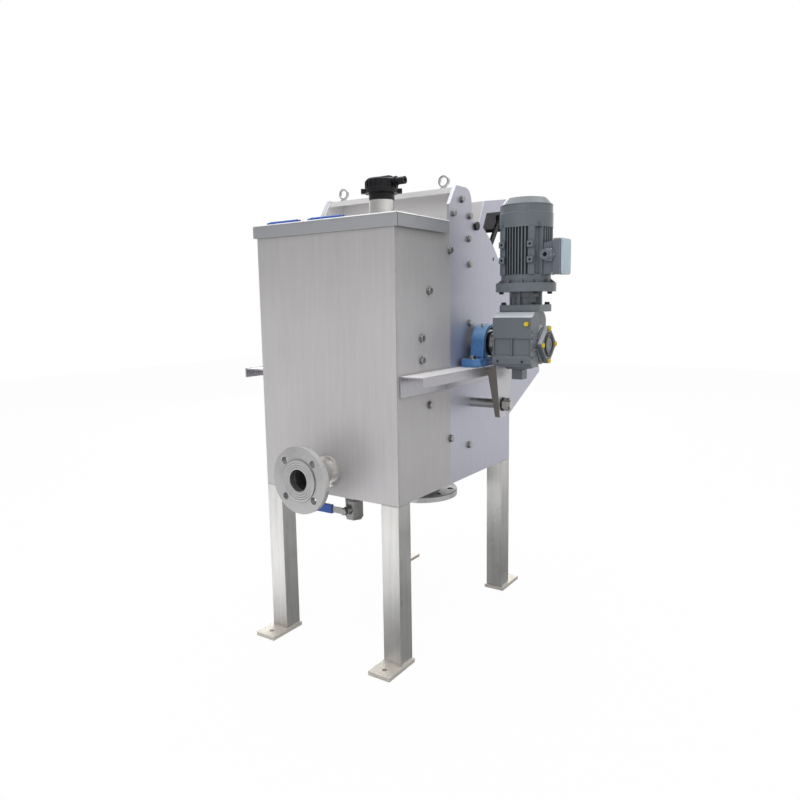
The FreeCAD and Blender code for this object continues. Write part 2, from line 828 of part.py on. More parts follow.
# Pipe flanges: a turned disc with a raised face and a circle of bolt holes
def pipe_flange(name, axis, face, thickness, across, radii, bolt_circle, count):
    """Flange from its outer face inward; radii are outside, raised face and bore."""
    outside, raised, bore = radii
    back = f"{face} + {thickness} + dim.raised_face"
    step = f"{face} + dim.raised_face"
    disc = turned(f"{name}_disc", axis, across, [
        (face, bore), (face, raised), (step, raised), (step, outside), (back, outside), (back, bore)])
    lie = {"y": Vector(0, 1, 0), "z": Vector(0, 0, 1)}[axis]
    out = {"y": Vector(1, 0, 0), "z": Vector(1, 0, 0)}[axis]
    centre = Vector(val(across[0]), val(face), val(across[1])) if axis == "y" else \
        Vector(val(across[0]), val(across[1]), val(face))
    shape = disc.Shape
    depth = val(back) - val(face)
    for hole in range(int(count)):
        angle = 360 * (hole + 0.5) / count
        arm = FreeCAD.Rotation(lie, angle).multVec(out) * (val(bolt_circle) / 2)
        shape = shape.cut(Part.makeCylinder(val("dim.flange_hole / 2"), depth, centre + arm, lie))
    disc.Shape = shape
    return disc


inlet_back = "-dim.inlet_face + dim.inlet_flange_thickness + dim.raised_face"
keep("inlet_flange", pipe_flange(
    "inlet_flange", "y", "-dim.inlet_face", "dim.inlet_flange_thickness", ("dim.inlet_x", "dim.inlet_z"),
    ("dim.inlet_flange_radius", "dim.inlet_raised_radius", "dim.inlet_bore_radius"),
    "dim.inlet_bolt_circle", val("dim.inlet_bolt_count")))
inlet_axis = ("dim.inlet_x", "dim.inlet_z")
inlet_tube = pipe("inlet_tube", "y", (inlet_back, f"-({front_inner})"), inlet_axis,
                  "dim.inlet_pipe_radius", "dim.inlet_bore_radius")
inlet_collar = pipe(
    "inlet_collar", "y", (f"-({half_depth}) - dim.inlet_collar_thickness", f"-({half_depth})"),
    inlet_axis, "dim.inlet_collar_radius", "dim.inlet_bore_radius")
keep("inlet_pipe", fuse("inlet_pipe", inlet_tube, inlet_collar))

outlet_axis = ("0", "dim.outlet_y")
outlet_back = "dim.outlet_face + dim.outlet_flange_thickness + dim.raised_face"
keep("outlet_flange", pipe_flange(
    "outlet_flange", "z", "dim.outlet_face", "dim.outlet_flange_thickness", outlet_axis,
    ("dim.outlet_flange_radius", "dim.outlet_raised_radius", "dim.outlet_bore_radius"),
    "dim.outlet_bolt_circle", val("dim.outlet_bolt_count")))
keep("outlet_pipe", pipe("outlet_pipe", "z", (outlet_back, floor_top), outlet_axis,
                         "dim.outlet_pipe_radius", "dim.outlet_bore_radius"))

# Drain: ball valve with its stem and a sleeved lever that points along the front
ball_room = "dim.drain_ball_radius + dim.rest_gap"


def valve_body_shape():
    """Turned valve body with hexagonal ends, round room for the ball and a stem boss."""
    axis = Vector(val("dim.drain_x"), val(drain_y), 0)
    low, high, middle = val("dim.drain_bottom"), val("dim.drain_top"), val("dim.drain_z")
    half_barrel = val(f"{ball_room} + dim.drain_body_wall")
    barrel = Part.makeCylinder(val("dim.drain_body_radius"), 2 * half_barrel,
                               axis + Vector(0, 0, middle - half_barrel))
    hexagon = Part.makePolygon([
        axis + Vector(val("dim.drain_hex_radius") * math.cos(math.radians(60 * turn)),
                      val("dim.drain_hex_radius") * math.sin(math.radians(60 * turn)), low)
        for turn in range(7)])
    ends = Part.Face(hexagon).extrude(Vector(0, 0, high - low))
    boss_start = Vector(axis.x, axis.y, middle)
    boss_length = val("dim.drain_lever_reach - dim.drain_lever_gap")
    boss = Part.makeCylinder(val("dim.drain_stem_radius + dim.drain_body_wall"), boss_length,
                             boss_start, Vector(0, -1, 0))
    body = barrel.fuse([ends, boss])
    room = Part.makeSphere(val(ball_room), Vector(axis.x, axis.y, middle))
    bore = Part.makeCylinder(val("dim.drain_bore_radius"), high - low, axis + Vector(0, 0, low))
    lower = Part.makeCylinder(val("dim.drain_thread_radius"), val("dim.drain_outlet_thread"),
                              axis + Vector(0, 0, low))
    upper = Part.makeCylinder(val("dim.drain_nipple_radius"), val("dim.drain_thread_length"),
                              axis + Vector(0, 0, high - val("dim.drain_thread_length")))
    stem_hole = Part.makeCylinder(val("dim.drain_stem_radius + dim.running_gap"), boss_length,
                                  boss_start, Vector(0, -1, 0))
    return body.cut([room, bore, lower, upper, stem_hole])


keep("drain_valve_body", feature("drain_valve_body", valve_body_shape()))
stem_axis = ("dim.drain_x", "dim.drain_z")
lever_back = f"{drain_y} - dim.drain_lever_reach"
lever_y = (f"{lever_back} - dim.drain_lever_thickness", lever_back)
ball_centre = Vector(val("dim.drain_x"), val(drain_y), val("dim.drain_z"))
ball_radius = val("dim.drain_ball_radius")
ball_bore = val("dim.drain_bore_radius")
half_bore = math.sqrt(ball_radius ** 2 - ball_bore ** 2)
bore_near = ball_centre + Vector(-half_bore, 0, ball_bore)
bore_far = ball_centre + Vector(half_bore, 0, ball_bore)
ball_crown = Part.Arc(bore_near, ball_centre + Vector(0, 0, ball_radius), bore_far).toShape()
ball_profile = Part.Face(Part.Wire([ball_crown, Part.LineSegment(bore_far, bore_near).toShape()]))
ball_shape = ball_profile.revolve(ball_centre, Vector(1, 0, 0), 360)
ball_flat = Part.makeBox(2 * ball_radius, ball_radius, 2 * ball_radius, ball_centre - Vector(
    ball_radius, val("2 * dim.drain_ball_radius - dim.drain_ball_flat"), ball_radius))
keep("drain_ball", feature("drain_ball", ball_shape.cut(ball_flat)))
stem_bar = round_bar(
    "drain_stem_bar", "y", (f"{lever_y[0]} - dim.drain_nut_height",
                            f"{drain_y} - dim.drain_ball_radius + dim.drain_ball_flat"),
    stem_axis, "dim.drain_stem_radius")
stem_nut = six_sided("drain_nut", "y", (f"{lever_y[0]} - dim.drain_nut_height", lever_y[0]), stem_axis,
                     "dim.drain_nut_radius")
keep("drain_stem", fuse("drain_stem", stem_bar, stem_nut))
keep("drain_lever", cut(
    "drain_lever",
    block("drain_lever_bar",
          ("dim.drain_x - dim.drain_lever_length", "dim.drain_x + dim.drain_lever_end"), lever_y,
          ("dim.drain_z - dim.drain_lever_width / 2", "dim.drain_z + dim.drain_lever_width / 2")),
    round_bar("drain_lever_hole", "y", lever_y, stem_axis, "dim.drain_stem_radius")))
sleeve_span = ("dim.drain_x - dim.drain_lever_length - dim.drain_sleeve_wall",
               "dim.drain_x - dim.drain_lever_length + dim.drain_sleeve_length")
lever_half = "dim.drain_lever_width / 2"
keep("drain_lever_sleeve", cut(
    "drain_lever_sleeve",
    block("drain_sleeve_skin", sleeve_span,
          (f"{lever_y[0]} - dim.drain_sleeve_wall", f"{lever_y[1]} + dim.drain_sleeve_wall"),
          (f"dim.drain_z - {lever_half} - dim.drain_sleeve_wall",
           f"dim.drain_z + {lever_half} + dim.drain_sleeve_wall")),
    block("drain_sleeve_room", ("dim.drain_x - dim.drain_lever_length", sleeve_span[1]), lever_y,
          (f"dim.drain_z - {lever_half}", f"dim.drain_z + {lever_half}"))))

# Lid with folded lips on three sides, the level sensor on its stub and two sleeved handles
lid_half = f"{half_width} + dim.lid_side_overhang"
lid_front = f"-({half_depth}) - dim.lid_front_overhang"
sensor_y = f"dim.sensor_inset - {half_depth}"
sensor_axis = ("dim.sensor_x", sensor_y)
lid_tray = cut(
    "lid_tray",
    block("lid_skin", (f"-({lid_half})", lid_half), (lid_front, "-dim.lid_rear"),
          ("dim.lid_top - dim.lid_lip", "dim.lid_top")),
    block("lid_room", (f"-({lid_half}) + dim.lid_sheet", f"{lid_half} - dim.lid_sheet"),
          (f"{lid_front} + dim.lid_sheet", "-dim.lid_rear + 1"),
          ("dim.lid_top - dim.lid_lip - 1", lid_underside)),
    round_bar("lid_hole", "z", (f"{lid_underside} - 1", "dim.lid_top + 1"), sensor_axis,
              "dim.sensor_stub_radius - dim.sheet"),
)
sensor_stub = pipe("sensor_stub", "z", ("dim.lid_top", "dim.sensor_stub_top"), sensor_axis,
                   "dim.sensor_stub_radius", "dim.sensor_stub_radius - dim.sheet")
keep("lid", fuse("lid", lid_tray, sensor_stub))
handles = []
for middle_x in (val("dim.handle_left_x"), val("dim.handle_right_x")):
    half = val("dim.handle_length / 2")
    bar_z = val("dim.lid_top + dim.handle_rise")
    bar_y = val(f"dim.handle_inset - {half_depth}")
    radius = val("dim.handle_radius")
    bar = Part.makeCylinder(radius, 2 * half, Vector(middle_x - half, bar_y, bar_z), Vector(1, 0, 0))
    posts = []
    for end in (-1, 1):
        foot = Vector(middle_x + end * (half - radius), bar_y, val("dim.lid_top"))
        posts.append(Part.makeCylinder(radius, bar_z - foot.z, foot))
    sleeve_half = half - 2 * radius - 1
    sleeve = Part.makeCylinder(val("dim.handle_sleeve_radius"), 2 * sleeve_half,
                               Vector(middle_x - sleeve_half, bar_y, bar_z), Vector(1, 0, 0))
    handles.append(bar.fuse(posts + [sleeve]).removeSplitter())
keep("lid_handles", feature("lid_handles", Part.makeCompound(handles)))

sensor_centre = Vector(val("dim.sensor_x"), val(sensor_y), 0)
lock_height = val("dim.sensor_ring_top - dim.sensor_sleeve_top")
lock_base = sensor_centre + Vector(0, 0, val("dim.sensor_sleeve_top"))
lock_ring = Part.makeCylinder(val("dim.sensor_ring_radius"), lock_height, lock_base)
lugs = []
lug_length, lug_width = val("dim.sensor_lug_length"), val("dim.sensor_lug_width")
for turn in range(4):
    lug_corner = lock_base + Vector(val("dim.sensor_lug_reach") - lug_length, -lug_width / 2, 0)
    lug = Part.makeBox(lug_length, lug_width, lock_height, lug_corner)
    lug.rotate(sensor_centre, Vector(0, 0, 1), val("dim.sensor_lug_turn") + 90 * turn)
    lugs.append(lug)
sensor_sleeve = Part.makeCylinder(val("dim.sensor_stub_radius + 1"),
                                  val("dim.sensor_sleeve_top - dim.sensor_stub_top"),
                                  sensor_centre + Vector(0, 0, val("dim.sensor_stub_top")))
keep("sensor_lock_ring", feature("sensor_lock_ring", lock_ring.fuse(lugs + [sensor_sleeve])))
head_radius = val("dim.sensor_head_radius")
head_base = val("dim.sensor_ring_top")
head_height = val("dim.sensor_head_top") - head_base
head = Part.makeCylinder(head_radius, head_height, sensor_centre + Vector(0, 0, head_base))
head = head.makeChamfer(val("dim.sensor_head_chamfer"),
                        [edge for edge in head.Edges if edge.BoundBox.ZMin > head_base + head_height / 2])
ribs = []
rib_depth, rib_width = val("dim.sensor_rib_depth"), val("dim.sensor_rib_width")
rib_count = int(val("dim.sensor_rib_count"))
for number in range(rib_count):
    rib = Part.makeBox(2 * rib_depth, rib_width, head_height - val("2 * dim.sensor_head_chamfer"),
                       sensor_centre + Vector(head_radius - rib_depth, -rib_width / 2, head_base))
    rib.rotate(sensor_centre, Vector(0, 0, 1), 360 * (number + 0.5) / rib_count)
    ribs.append(rib)
bridge_width = val("dim.sensor_bridge_width")
bridge = Part.makeBox(2 * head_radius - bridge_width, bridge_width, val("dim.sensor_bridge_height"),
                      sensor_centre + Vector(bridge_width / 2 - head_radius, -bridge_width / 2,
                                             head_base + head_height))
gland_start = sensor_centre + Vector(head_radius - rib_depth, 0, val("dim.sensor_gland_z"))
gland = Part.makeCylinder(val("dim.sensor_gland_radius"), val("dim.sensor_gland_reach"),
                          gland_start, Vector(1, 0, 0))
socket_start = val("dim.gland_socket")
gland_bore = Part.makeCylinder(val("dim.cable_radius - 1"), val("dim.sensor_gland_reach") - socket_start,
                               gland_start + Vector(socket_start, 0, 0), Vector(1, 0, 0))
gland_foot = Part.makeCylinder(val("dim.sensor_gland_radius + 3"), val("dim.sensor_gland_radius"),
                               gland_start, Vector(1, 0, 0))
keep("sensor_head", feature("sensor_head", head.fuse(ribs + [bridge, gland, gland_foot]).cut(gland_bore)))

# Hinge rod in the plate notches, with black end caps
hinge_axis = ("dim.hinge_y", "dim.hinge_z")
keep("hinge_rod", round_bar("hinge_rod", "x", (f"-({half_width})", half_width), hinge_axis,
                            "dim.hinge_radius"))
group("hinge_caps", *[
    round_bar(f"hinge_cap_{side_name}", "x", side_span(side, half_width, f"{half_width} + dim.cap_length"),
              hinge_axis, "dim.cap_radius")
    for side_name, side in sides.items()])

# Hood: bent skin between two side flanges that hang on the hinge rod
hood_inner_x = val(f"{plate_inner} - dim.hood_side_gap - dim.hood_sheet")
rear_low_y = val("dim.hood_rear_y + dim.hood_rear_lean")
hood_line = [
    (val("dim.hood_front_y"), val("dim.hinge_z")),
    (val("dim.hood_fold_y"), val("dim.hood_fold_z")),
    (val("dim.hood_rear_y"), val("dim.hood_rear_top")),
    (rear_low_y, val("dim.hood_rear_bottom")),
]
keep("hood_skin", bent_sheet("hood_skin", hood_line, -val("dim.hood_sheet"),
                             -hood_inner_x, hood_inner_x))


def hood_flange_shape(low):
    """Side flange: an eye on the rod, then a strip along the front, top and rear of the hood."""
    eye = Vector(low, val("dim.hinge_y"), val("dim.hinge_z"))
    thickness = val("dim.hood_sheet")
    outer = [Vector(low, y, z) for y, z in hood_line]
    strip = val("dim.hood_flange")
    drop = val("dim.hood_top_flange")
    front_way = (outer[1] - outer[0]).normalize()
    front_in = Vector(0, front_way.z, -front_way.y)
    rear_way = (outer[3] - outer[2]).normalize()
    rear_in = Vector(0, rear_way.z, -rear_way.y)
    top_way = (outer[2] - outer[1]).normalize()
    top_in = Vector(0, top_way.z, -top_way.y)

    def crossing(start, way, other, other_way):
        """Point where two lines in the plate's plane meet."""
        gap = other - start
        turn = way.y * other_way.z - way.z * other_way.y
        return start + way * ((gap.y * other_way.z - gap.z * other_way.y) / turn)

    front_line = outer[0] + front_in * strip
    top_line = outer[1] + top_in * drop
    rear_line = outer[2] + rear_in * strip
    inside = [
        outer[3] + rear_in * strip,
        crossing(rear_line, rear_way, top_line, top_way),
        crossing(front_line, front_way, top_line, top_way),
        outer[0] + front_in * strip,
    ]
    eye_radius = val("dim.ear_radius")
    root = [eye + Vector(0, 0, -eye_radius), eye + Vector(0, 0, eye_radius)]
    face = Part.Face(Part.makePolygon(outer + inside + outer[:1]))
    link = Part.Face(Part.makePolygon([root[0], inside[3], outer[0], root[1], root[0]]))
    along = Vector(thickness, 0, 0)
    shape = face.extrude(along).fuse([
        link.extrude(along),
        Part.makeCylinder(eye_radius, thickness, eye, Vector(1, 0, 0)),
    ]).removeSplitter()
    bore = Part.makeCylinder(val("dim.hinge_radius + dim.hinge_gap"), thickness, eye, Vector(1, 0, 0))
    return shape.cut(bore)


edge_low = val("dim.hood_rear_bottom - dim.hood_edge - dim.rest_gap")
keep("hood_edge_seal", feature("hood_edge_seal", Part.makeBox(
    2 * hood_inner_x, val("dim.hood_edge"), val("dim.hood_edge"),
    Vector(-hood_inner_x, rear_low_y - val("dim.hood_sheet / 2 + dim.hood_edge / 2"), edge_low))))

# Prop stay inside the drive plate: it hangs on a pin in the hood flange
stay_top = Vector(val("dim.stay_x"), val("dim.stay_pivot_y"), val("dim.stay_pivot_z"))
stay_foot = Vector(val("dim.stay_x"), val("dim.stay_foot_y"), val("dim.stay_foot_z"))
stay_pin = Part.makeCylinder(
    val("dim.stay_pin_radius"), hood_inner_x - stay_top.x + val("dim.stay_radius + dim.stay_pin_end"),
    stay_top - Vector(val("dim.stay_radius + dim.stay_pin_end"), 0, 0), Vector(1, 0, 0))
drive_flange = hood_flange_shape(hood_inner_x).fuse(stay_pin)
idle_flange = hood_flange_shape(-hood_inner_x - val("dim.hood_sheet"))
keep("hood_side_flanges", feature("hood_side_flanges", Part.makeCompound([drive_flange, idle_flange])))
stay_way = stay_foot - stay_top
stay_bar = Part.makeCylinder(val("dim.stay_radius"), stay_way.Length, stay_top, stay_way)
stay_eye = Part.makeCylinder(val("dim.stay_eye_radius"), 2 * val("dim.stay_radius"),
                             stay_top - Vector(val("dim.stay_radius"), 0, 0), Vector(1, 0, 0))
peg_end = inner_x - val("dim.rest_gap")
stay_peg = Part.makeCylinder(val("dim.bolt_radius - 1"), peg_end - stay_foot.x, stay_foot, Vector(1, 0, 0))
stay_bore = Part.makeCylinder(val("dim.stay_pin_radius + dim.hinge_gap"), 4 * val("dim.stay_radius"),
                              stay_top - Vector(2 * val("dim.stay_radius"), 0, 0), Vector(1, 0, 0))
keep("prop_stay", feature("prop_stay", stay_bar.fuse([stay_eye, stay_peg]).cut(stay_bore)))

# Drum: wedge-wire turns on round support rods, end rings, spiders with hubs, shaft
axis_point = Vector(0, val("dim.shaft_y"), val("dim.shaft_z"))
drum_half = val("dim.drum_half")
drum_radius = val("dim.drum_radius")
wire_inner = drum_radius - val("dim.wire_height")
turns = int(val("dim.wire_turns"))
wire_room = 2 * (drum_half - val("dim.end_ring_thickness")) - val("dim.wire_width")
wires = []
for turn in range(turns):
    middle_x = -wire_room / 2 + wire_room * turn / (turns - 1)
    half = val("dim.wire_width / 2")
    wedge = Part.makePolygon([
        axis_point + Vector(middle_x - half, 0, drum_radius),
        axis_point + Vector(middle_x + half, 0, drum_radius),
        axis_point + Vector(middle_x, 0, wire_inner),
        axis_point + Vector(middle_x - half, 0, drum_radius),
    ])
    wires.append(Part.Face(wedge).revolve(axis_point, Vector(1, 0, 0), 360))
keep("drum_wedge_wires", feature("drum_wedge_wires", Part.makeCompound(wires)))
rods = []
rod_radius = val("dim.rod_radius")
rod_half = drum_half - val("dim.end_ring_thickness")
rod_circle = wire_inner - rod_radius
rod_count = int(val("dim.rod_count"))
for number in range(rod_count):
    angle = 2 * math.pi * number / rod_count
    start = axis_point + Vector(-rod_half, rod_circle * math.cos(angle), rod_circle * math.sin(angle))
    rods.append(Part.makeCylinder(rod_radius, 2 * rod_half, start, Vector(1, 0, 0)))
keep("drum_support_rods", feature("drum_support_rods", Part.makeCompound(rods)))


def spider_shape(side):
    """End of the drum: rim ring, flat spokes and hub as one weldment."""
    ring = val("dim.end_ring_thickness")
    low = drum_half - ring if side > 0 else -drum_half
    rim_inner = drum_radius - val("dim.end_ring_width")
    base = axis_point + Vector(low, 0, 0)
    along = Vector(1, 0, 0)
    rim = Part.makeCylinder(drum_radius, ring, base, along)
    rim = rim.cut(Part.makeCylinder(rim_inner, ring, base, along))
    thickness = val("dim.spoke_thickness")
    spoke_low = low + (ring - thickness if side > 0 else 0)
    length = val("dim.hub_length")
    hub_low = low + (ring - length if side > 0 else 0)
    hub = Part.makeCylinder(val("dim.hub_radius"), length, axis_point + Vector(hub_low, 0, 0), along)
    spokes = []
    width = val("dim.spoke_width")
    count = int(val("dim.spoke_count"))
    for number in range(count):
        spoke = Part.makeBox(thickness, rim_inner + ring, width,
                             Vector(spoke_low, axis_point.y, axis_point.z - width / 2))
        spoke.rotate(axis_point, along, 360 * number / count)
        spokes.append(spoke)
    shape = rim.fuse([hub] + spokes)
    bore = Part.makeCylinder(val("dim.shaft_radius"), 3 * length,
                             axis_point + Vector(hub_low - length, 0, 0), along)
    return shape.cut(bore)


keep("drum_spiders", feature("drum_spiders", Part.makeCompound(
    [spider_shape(side) for side in sides.values()])))
idle_end = "-(dim.housing_x + dim.bearing_inner_length / 2 + 3)"
drive_end = "dim.case_outer_x + dim.sleeve_reach"
keep("drum_shaft", fuse(
    "drum_shaft",
    round_bar("drum_shaft_body", "x", (idle_end, "dim.shaft_shoulder"), shaft, "dim.shaft_radius"),
    round_bar("drum_shaft_end", "x", ("dim.shaft_shoulder", drive_end), shaft, "dim.output_radius"),
))

# Half-ring seals round the front of the drum's ends, and the bars that clamp them to the plates
seal_arc = 360 - 2 * val("dim.seal_start")
clamp_mid = val("dim.ring_bolt_radius")


def half_ring(side, near, far, inner, outer):
    """Half ring on a plate's inside, between two distances from that plate and two radii."""
    low, high = sorted((side * (inner_x - near), side * (inner_x - far)))
    start = math.radians(val("dim.seal_start"))

    def corner(x, radius):
        return axis_point + Vector(x, radius * math.cos(start), radius * math.sin(start))

    outline = [corner(low, inner), corner(high, inner), corner(high, outer), corner(low, outer)]
    face = Part.Face(Part.makePolygon(outline + outline[:1]))
    return face.revolve(axis_point, Vector(1, 0, 0), seal_arc)


seal_thickness = val("dim.seal_thickness")
seal_inner = drum_radius + val("dim.seal_gap")
seal_outer = clamp_mid + val("dim.clamp_half_width")
seal_depth = inner_x - drum_half + val("dim.seal_lip")
clamp_inner = clamp_mid - val("dim.clamp_half_width")
seals = []
clamps = []
for side in sides.values():
    foot = half_ring(side, 0, seal_thickness, seal_inner, seal_outer)
    lip = half_ring(side, 0, seal_depth, seal_inner, seal_inner + seal_thickness)
    seals.append(foot.fuse(lip).removeSplitter())
    clamps.append(half_ring(side, seal_thickness, 2 * seal_thickness, clamp_inner, seal_outer))
keep("drum_seals", feature("drum_seals", Part.makeCompound(seals)))
keep("seal_clamps", feature("seal_clamps", Part.makeCompound(clamps)))

# Scraper at the back of the drum: blade on a round holder whose ends turn in the plates
blade_angle = math.radians(val("dim.blade_angle"))
slope = math.radians(val("dim.blade_slope"))
touch = axis_point + Vector(0, math.cos(blade_angle), math.sin(blade_angle)) * (
    drum_radius + val("dim.blade_gap"))
down_slope = Vector(0, math.cos(slope), -math.sin(slope))
under = Vector(0, -math.sin(slope), -math.cos(slope))
blade_thickness = val("dim.blade_thickness")
blade_half = drum_half
edge = touch - Vector(blade_half, 0, 0)
blade_outline = [
    edge,
    edge + down_slope * val("dim.blade_length"),
    edge + down_slope * val("dim.blade_length") + under * blade_thickness,
    edge + down_slope * blade_thickness + under * blade_thickness,
]
blade_face = Part.Face(Part.makePolygon(blade_outline + blade_outline[:1]))
keep("scraper_blade", feature("scraper_blade", blade_face.extrude(Vector(2 * blade_half, 0, 0))))
holder_radius = val("dim.holder_radius")
holder_axis = touch + down_slope * (val("dim.blade_length") - holder_radius) + under * (
    blade_thickness + holder_radius)
keep("scraper_holder", feature("scraper_holder", Part.makeCylinder(
    holder_radius, 2 * (inner_x - val("dim.rest_gap")),
    holder_axis - Vector(inner_x - val("dim.rest_gap"), 0, 0), Vector(1, 0, 0))))

# Chute floor behind the scraper, down to the lip between the rear ears
chute_start = val("dim.chute_start")
start_z = touch.z + math.tan(-slope) * (chute_start - touch.y) - val("dim.chute_drop") / 2
chute_line = [(chute_start, start_z), (ear_y, ear_z - val("dim.ear_lip / 2"))]
keep("chute_floor", bent_sheet("chute_floor", chute_line, -val("dim.sheet"), -inner_x, inner_x))

# Pillow blocks on the shelves
housings = []
outer_rings = []
inner_rings = []
for side_name, side in sides.items():
    centre_x = side * val("dim.housing_x")
    foot_low = centre_x - val("dim.housing_width / 2")
    length = val("dim.housing_foot")
    foot_height = val("dim.housing_foot_height")
    shelf = val("dim.shelf_top")
    foot = rounded_block((foot_low, foot_low + val("dim.housing_width")),
                         (axis_point.y - length / 2, axis_point.y + length / 2),
                         (shelf, shelf + foot_height), "z", "dim.housing_width / 3")
    dome_width = val("dim.housing_dome_width")
    dome_low = centre_x - dome_width / 2
    dome_radius = val("dim.housing_dome_radius")
    dome = Part.makeCylinder(dome_radius, dome_width,
                             Vector(dome_low, axis_point.y, axis_point.z), Vector(1, 0, 0))
    dome = dome.makeFillet(val("dim.housing_round"), [
        edge for edge in dome.Edges if edge.BoundBox.XLength < dome_width / 2])
    web_foot = dome_radius + val("dim.housing_web_spread")
    web = Part.Face(Part.makePolygon([
        Vector(dome_low, axis_point.y - web_foot, shelf),
        Vector(dome_low, axis_point.y + web_foot, shelf),
        Vector(dome_low, axis_point.y + dome_radius, axis_point.z),
        Vector(dome_low, axis_point.y - dome_radius, axis_point.z),
        Vector(dome_low, axis_point.y - web_foot, shelf),
    ])).extrude(Vector(dome_width, 0, 0))
    web = web.makeFillet(val("dim.housing_round"), [
        edge for edge in web.Edges
        if edge.BoundBox.ZLength > foot_height and edge.BoundBox.XLength < dome_width / 2])
    under_cut = Part.makeBox(2 * dome_radius, 2 * length, dome_radius,
                             Vector(centre_x - dome_radius, axis_point.y - length, shelf - dome_radius))
    shape = foot.fuse([dome, web]).cut(under_cut)
    bore = Part.makeCylinder(val("dim.bearing_outer_radius"), 2 * dome_width,
                             Vector(centre_x - dome_width, axis_point.y, axis_point.z), Vector(1, 0, 0))
    shape = shape.cut(bore).removeSplitter()
    housings.append(shape)
    half = "dim.bearing_width / 2"
    race_span = (f"{side} * dim.housing_x - {half}", f"{side} * dim.housing_x + {half}")
    outer_rings.append(pipe(f"bearing_outer_{side_name}", "x", race_span, shaft,
                            "dim.bearing_outer_radius", "dim.bearing_race_radius + dim.running_gap"))
    half = "dim.bearing_inner_length / 2"
    inner_span = (f"{side} * dim.housing_x - {half}", f"{side} * dim.housing_x + {half}")
    inner_rings.append(pipe(f"bearing_inner_{side_name}", "x", inner_span, shaft,
                            "dim.bearing_race_radius", "dim.shaft_radius"))
keep("bearing_housings", feature("bearing_housings", Part.makeCompound(housings)))
group("bearing_outer_rings", *outer_rings)
group("bearing_inner_rings", *inner_rings)

# Gearbox case: front block with a hollowed brow and recessed panels, body, hub, bottom cover
def outline_prism(points, arcs, low, high):
    """Solid between two X planes from (y, z) corners; arcs maps a corner's number to a bow."""
    corners = [Vector(y, z, 0) for y, z in points]
    edges = []
    for number, (here, there) in enumerate(zip(corners, corners[1:] + corners[:1])):
        if number in arcs:
            edges.append(Part.Arc(here, bowed(here, there, arcs[number]), there).toShape())
        else:
            edges.append(Part.LineSegment(here, there).toShape())
    face = Part.Face(Part.Wire(edges))
    face.Placement = FreeCAD.Placement(Vector(low, 0, 0), standing)
    return face.extrude(Vector(high - low, 0, 0))


def gearbox_case_shape():
    """Case round the output sleeve, with the motor's seat on top."""
    low, high, body_high = val("dim.case_inner_x"), val("dim.case_outer_x"), val("dim.case_body_x")
    front, rear = val("dim.case_front"), val("dim.case_rear")
    base, top = val("dim.case_base"), val("dim.case_top")
    block_rear = front + val("dim.case_front_depth")
    chamfer = val("dim.case_chamfer")
    front_block = outline_prism([
        (front + chamfer, base), (front, base + chamfer), (front, top - val("dim.case_brow")),
        (front + val("dim.case_brow_depth"), top), (block_rear, top), (block_rear, base),
    ], {2: -val("dim.case_brow_sag")}, low, high)
    rear_round = val("dim.case_rear_round")
    body = outline_prism([
        (block_rear, base), (block_rear, top), (rear - rear_round, top), (rear, top - rear_round),
        (rear, base + rear_round), (rear - rear_round, base),
    ], {2: rear_round / 5, 4: rear_round / 5}, low, body_high)
    hub = Part.makeCone(val("dim.case_hub_root"), val("dim.case_hub_end"), high - body_high,
                        Vector(body_high, axis_point.y, axis_point.z), Vector(1, 0, 0))
    ridge, band = val("dim.case_ridge"), val("dim.case_band")
    band_low = base + chamfer
    proud_band = Part.makeBox(high - low, band, ridge - band_low, Vector(low, front - band, band_low))
    cover_centre = Vector(val("dim.cover_x"), axis_point.y, base)
    cover_height = val("dim.cover_height")
    disc = Part.makeCylinder(val("dim.cover_radius"), cover_height,
                             cover_centre - Vector(0, 0, cover_height))
    half_boss, boss_drop = val("dim.cover_boss / 2"), val("dim.cover_height + dim.cover_boss_height")
    boss = Part.makeBox(2 * half_boss, 2 * half_boss, boss_drop,
                        cover_centre - Vector(half_boss, half_boss, boss_drop))
    gap = val("dim.panel_gap")
    panel_width = (high - low - 3 * gap) / 2
    panels = [
        Part.makeBox(panel_width, val("dim.panel_depth"), val("dim.panel_height"),
                     Vector(low + gap + number * (panel_width + gap), front, ridge + gap))
        for number in range(2)]
    socket = Part.makeCylinder(val("dim.sleeve_radius + dim.running_gap"), high - low,
                               Vector(low, axis_point.y, axis_point.z), Vector(1, 0, 0))
    solid = front_block.fuse([body, hub, proud_band, disc, boss])
    return solid.cut(panels + [socket]).removeSplitter()


keep("gearbox_case", feature("gearbox_case", gearbox_case_shape()))
motor_axis = ("dim.motor_x", "dim.shaft_y")
keep("output_sleeve", pipe("output_sleeve", "x", ("dim.shaft_shoulder", "dim.case_outer_x + dim.sleeve_reach"),
                           shaft, "dim.sleeve_radius", "dim.output_radius"))
cover_reach = val("dim.output_cover_radius")
cover_start = Vector(val("dim.case_outer_x"), axis_point.y, axis_point.z)
diamond = Part.Face(Part.makePolygon([
    cover_start + Vector(0, cover_reach * math.cos(math.radians(90 * turn)),
                         cover_reach * math.sin(math.radians(90 * turn)))
    for turn in range(5)])).extrude(Vector(val("dim.output_cover_thickness"), 0, 0))
diamond = diamond.makeFillet(val("dim.output_cover_round"),
                            [edge for edge in diamond.Edges if edge.BoundBox.XLength > 1])
cover_bore = Part.makeCylinder(val("dim.sleeve_radius + dim.running_gap"),
                               val("dim.output_cover_thickness"), cover_start, Vector(1, 0, 0))
keep("output_cover", feature("output_cover", diamond.cut(cover_bore)))
caps = []
cap_base = cover_start + Vector(val("dim.output_cover_thickness"), 0, 0)
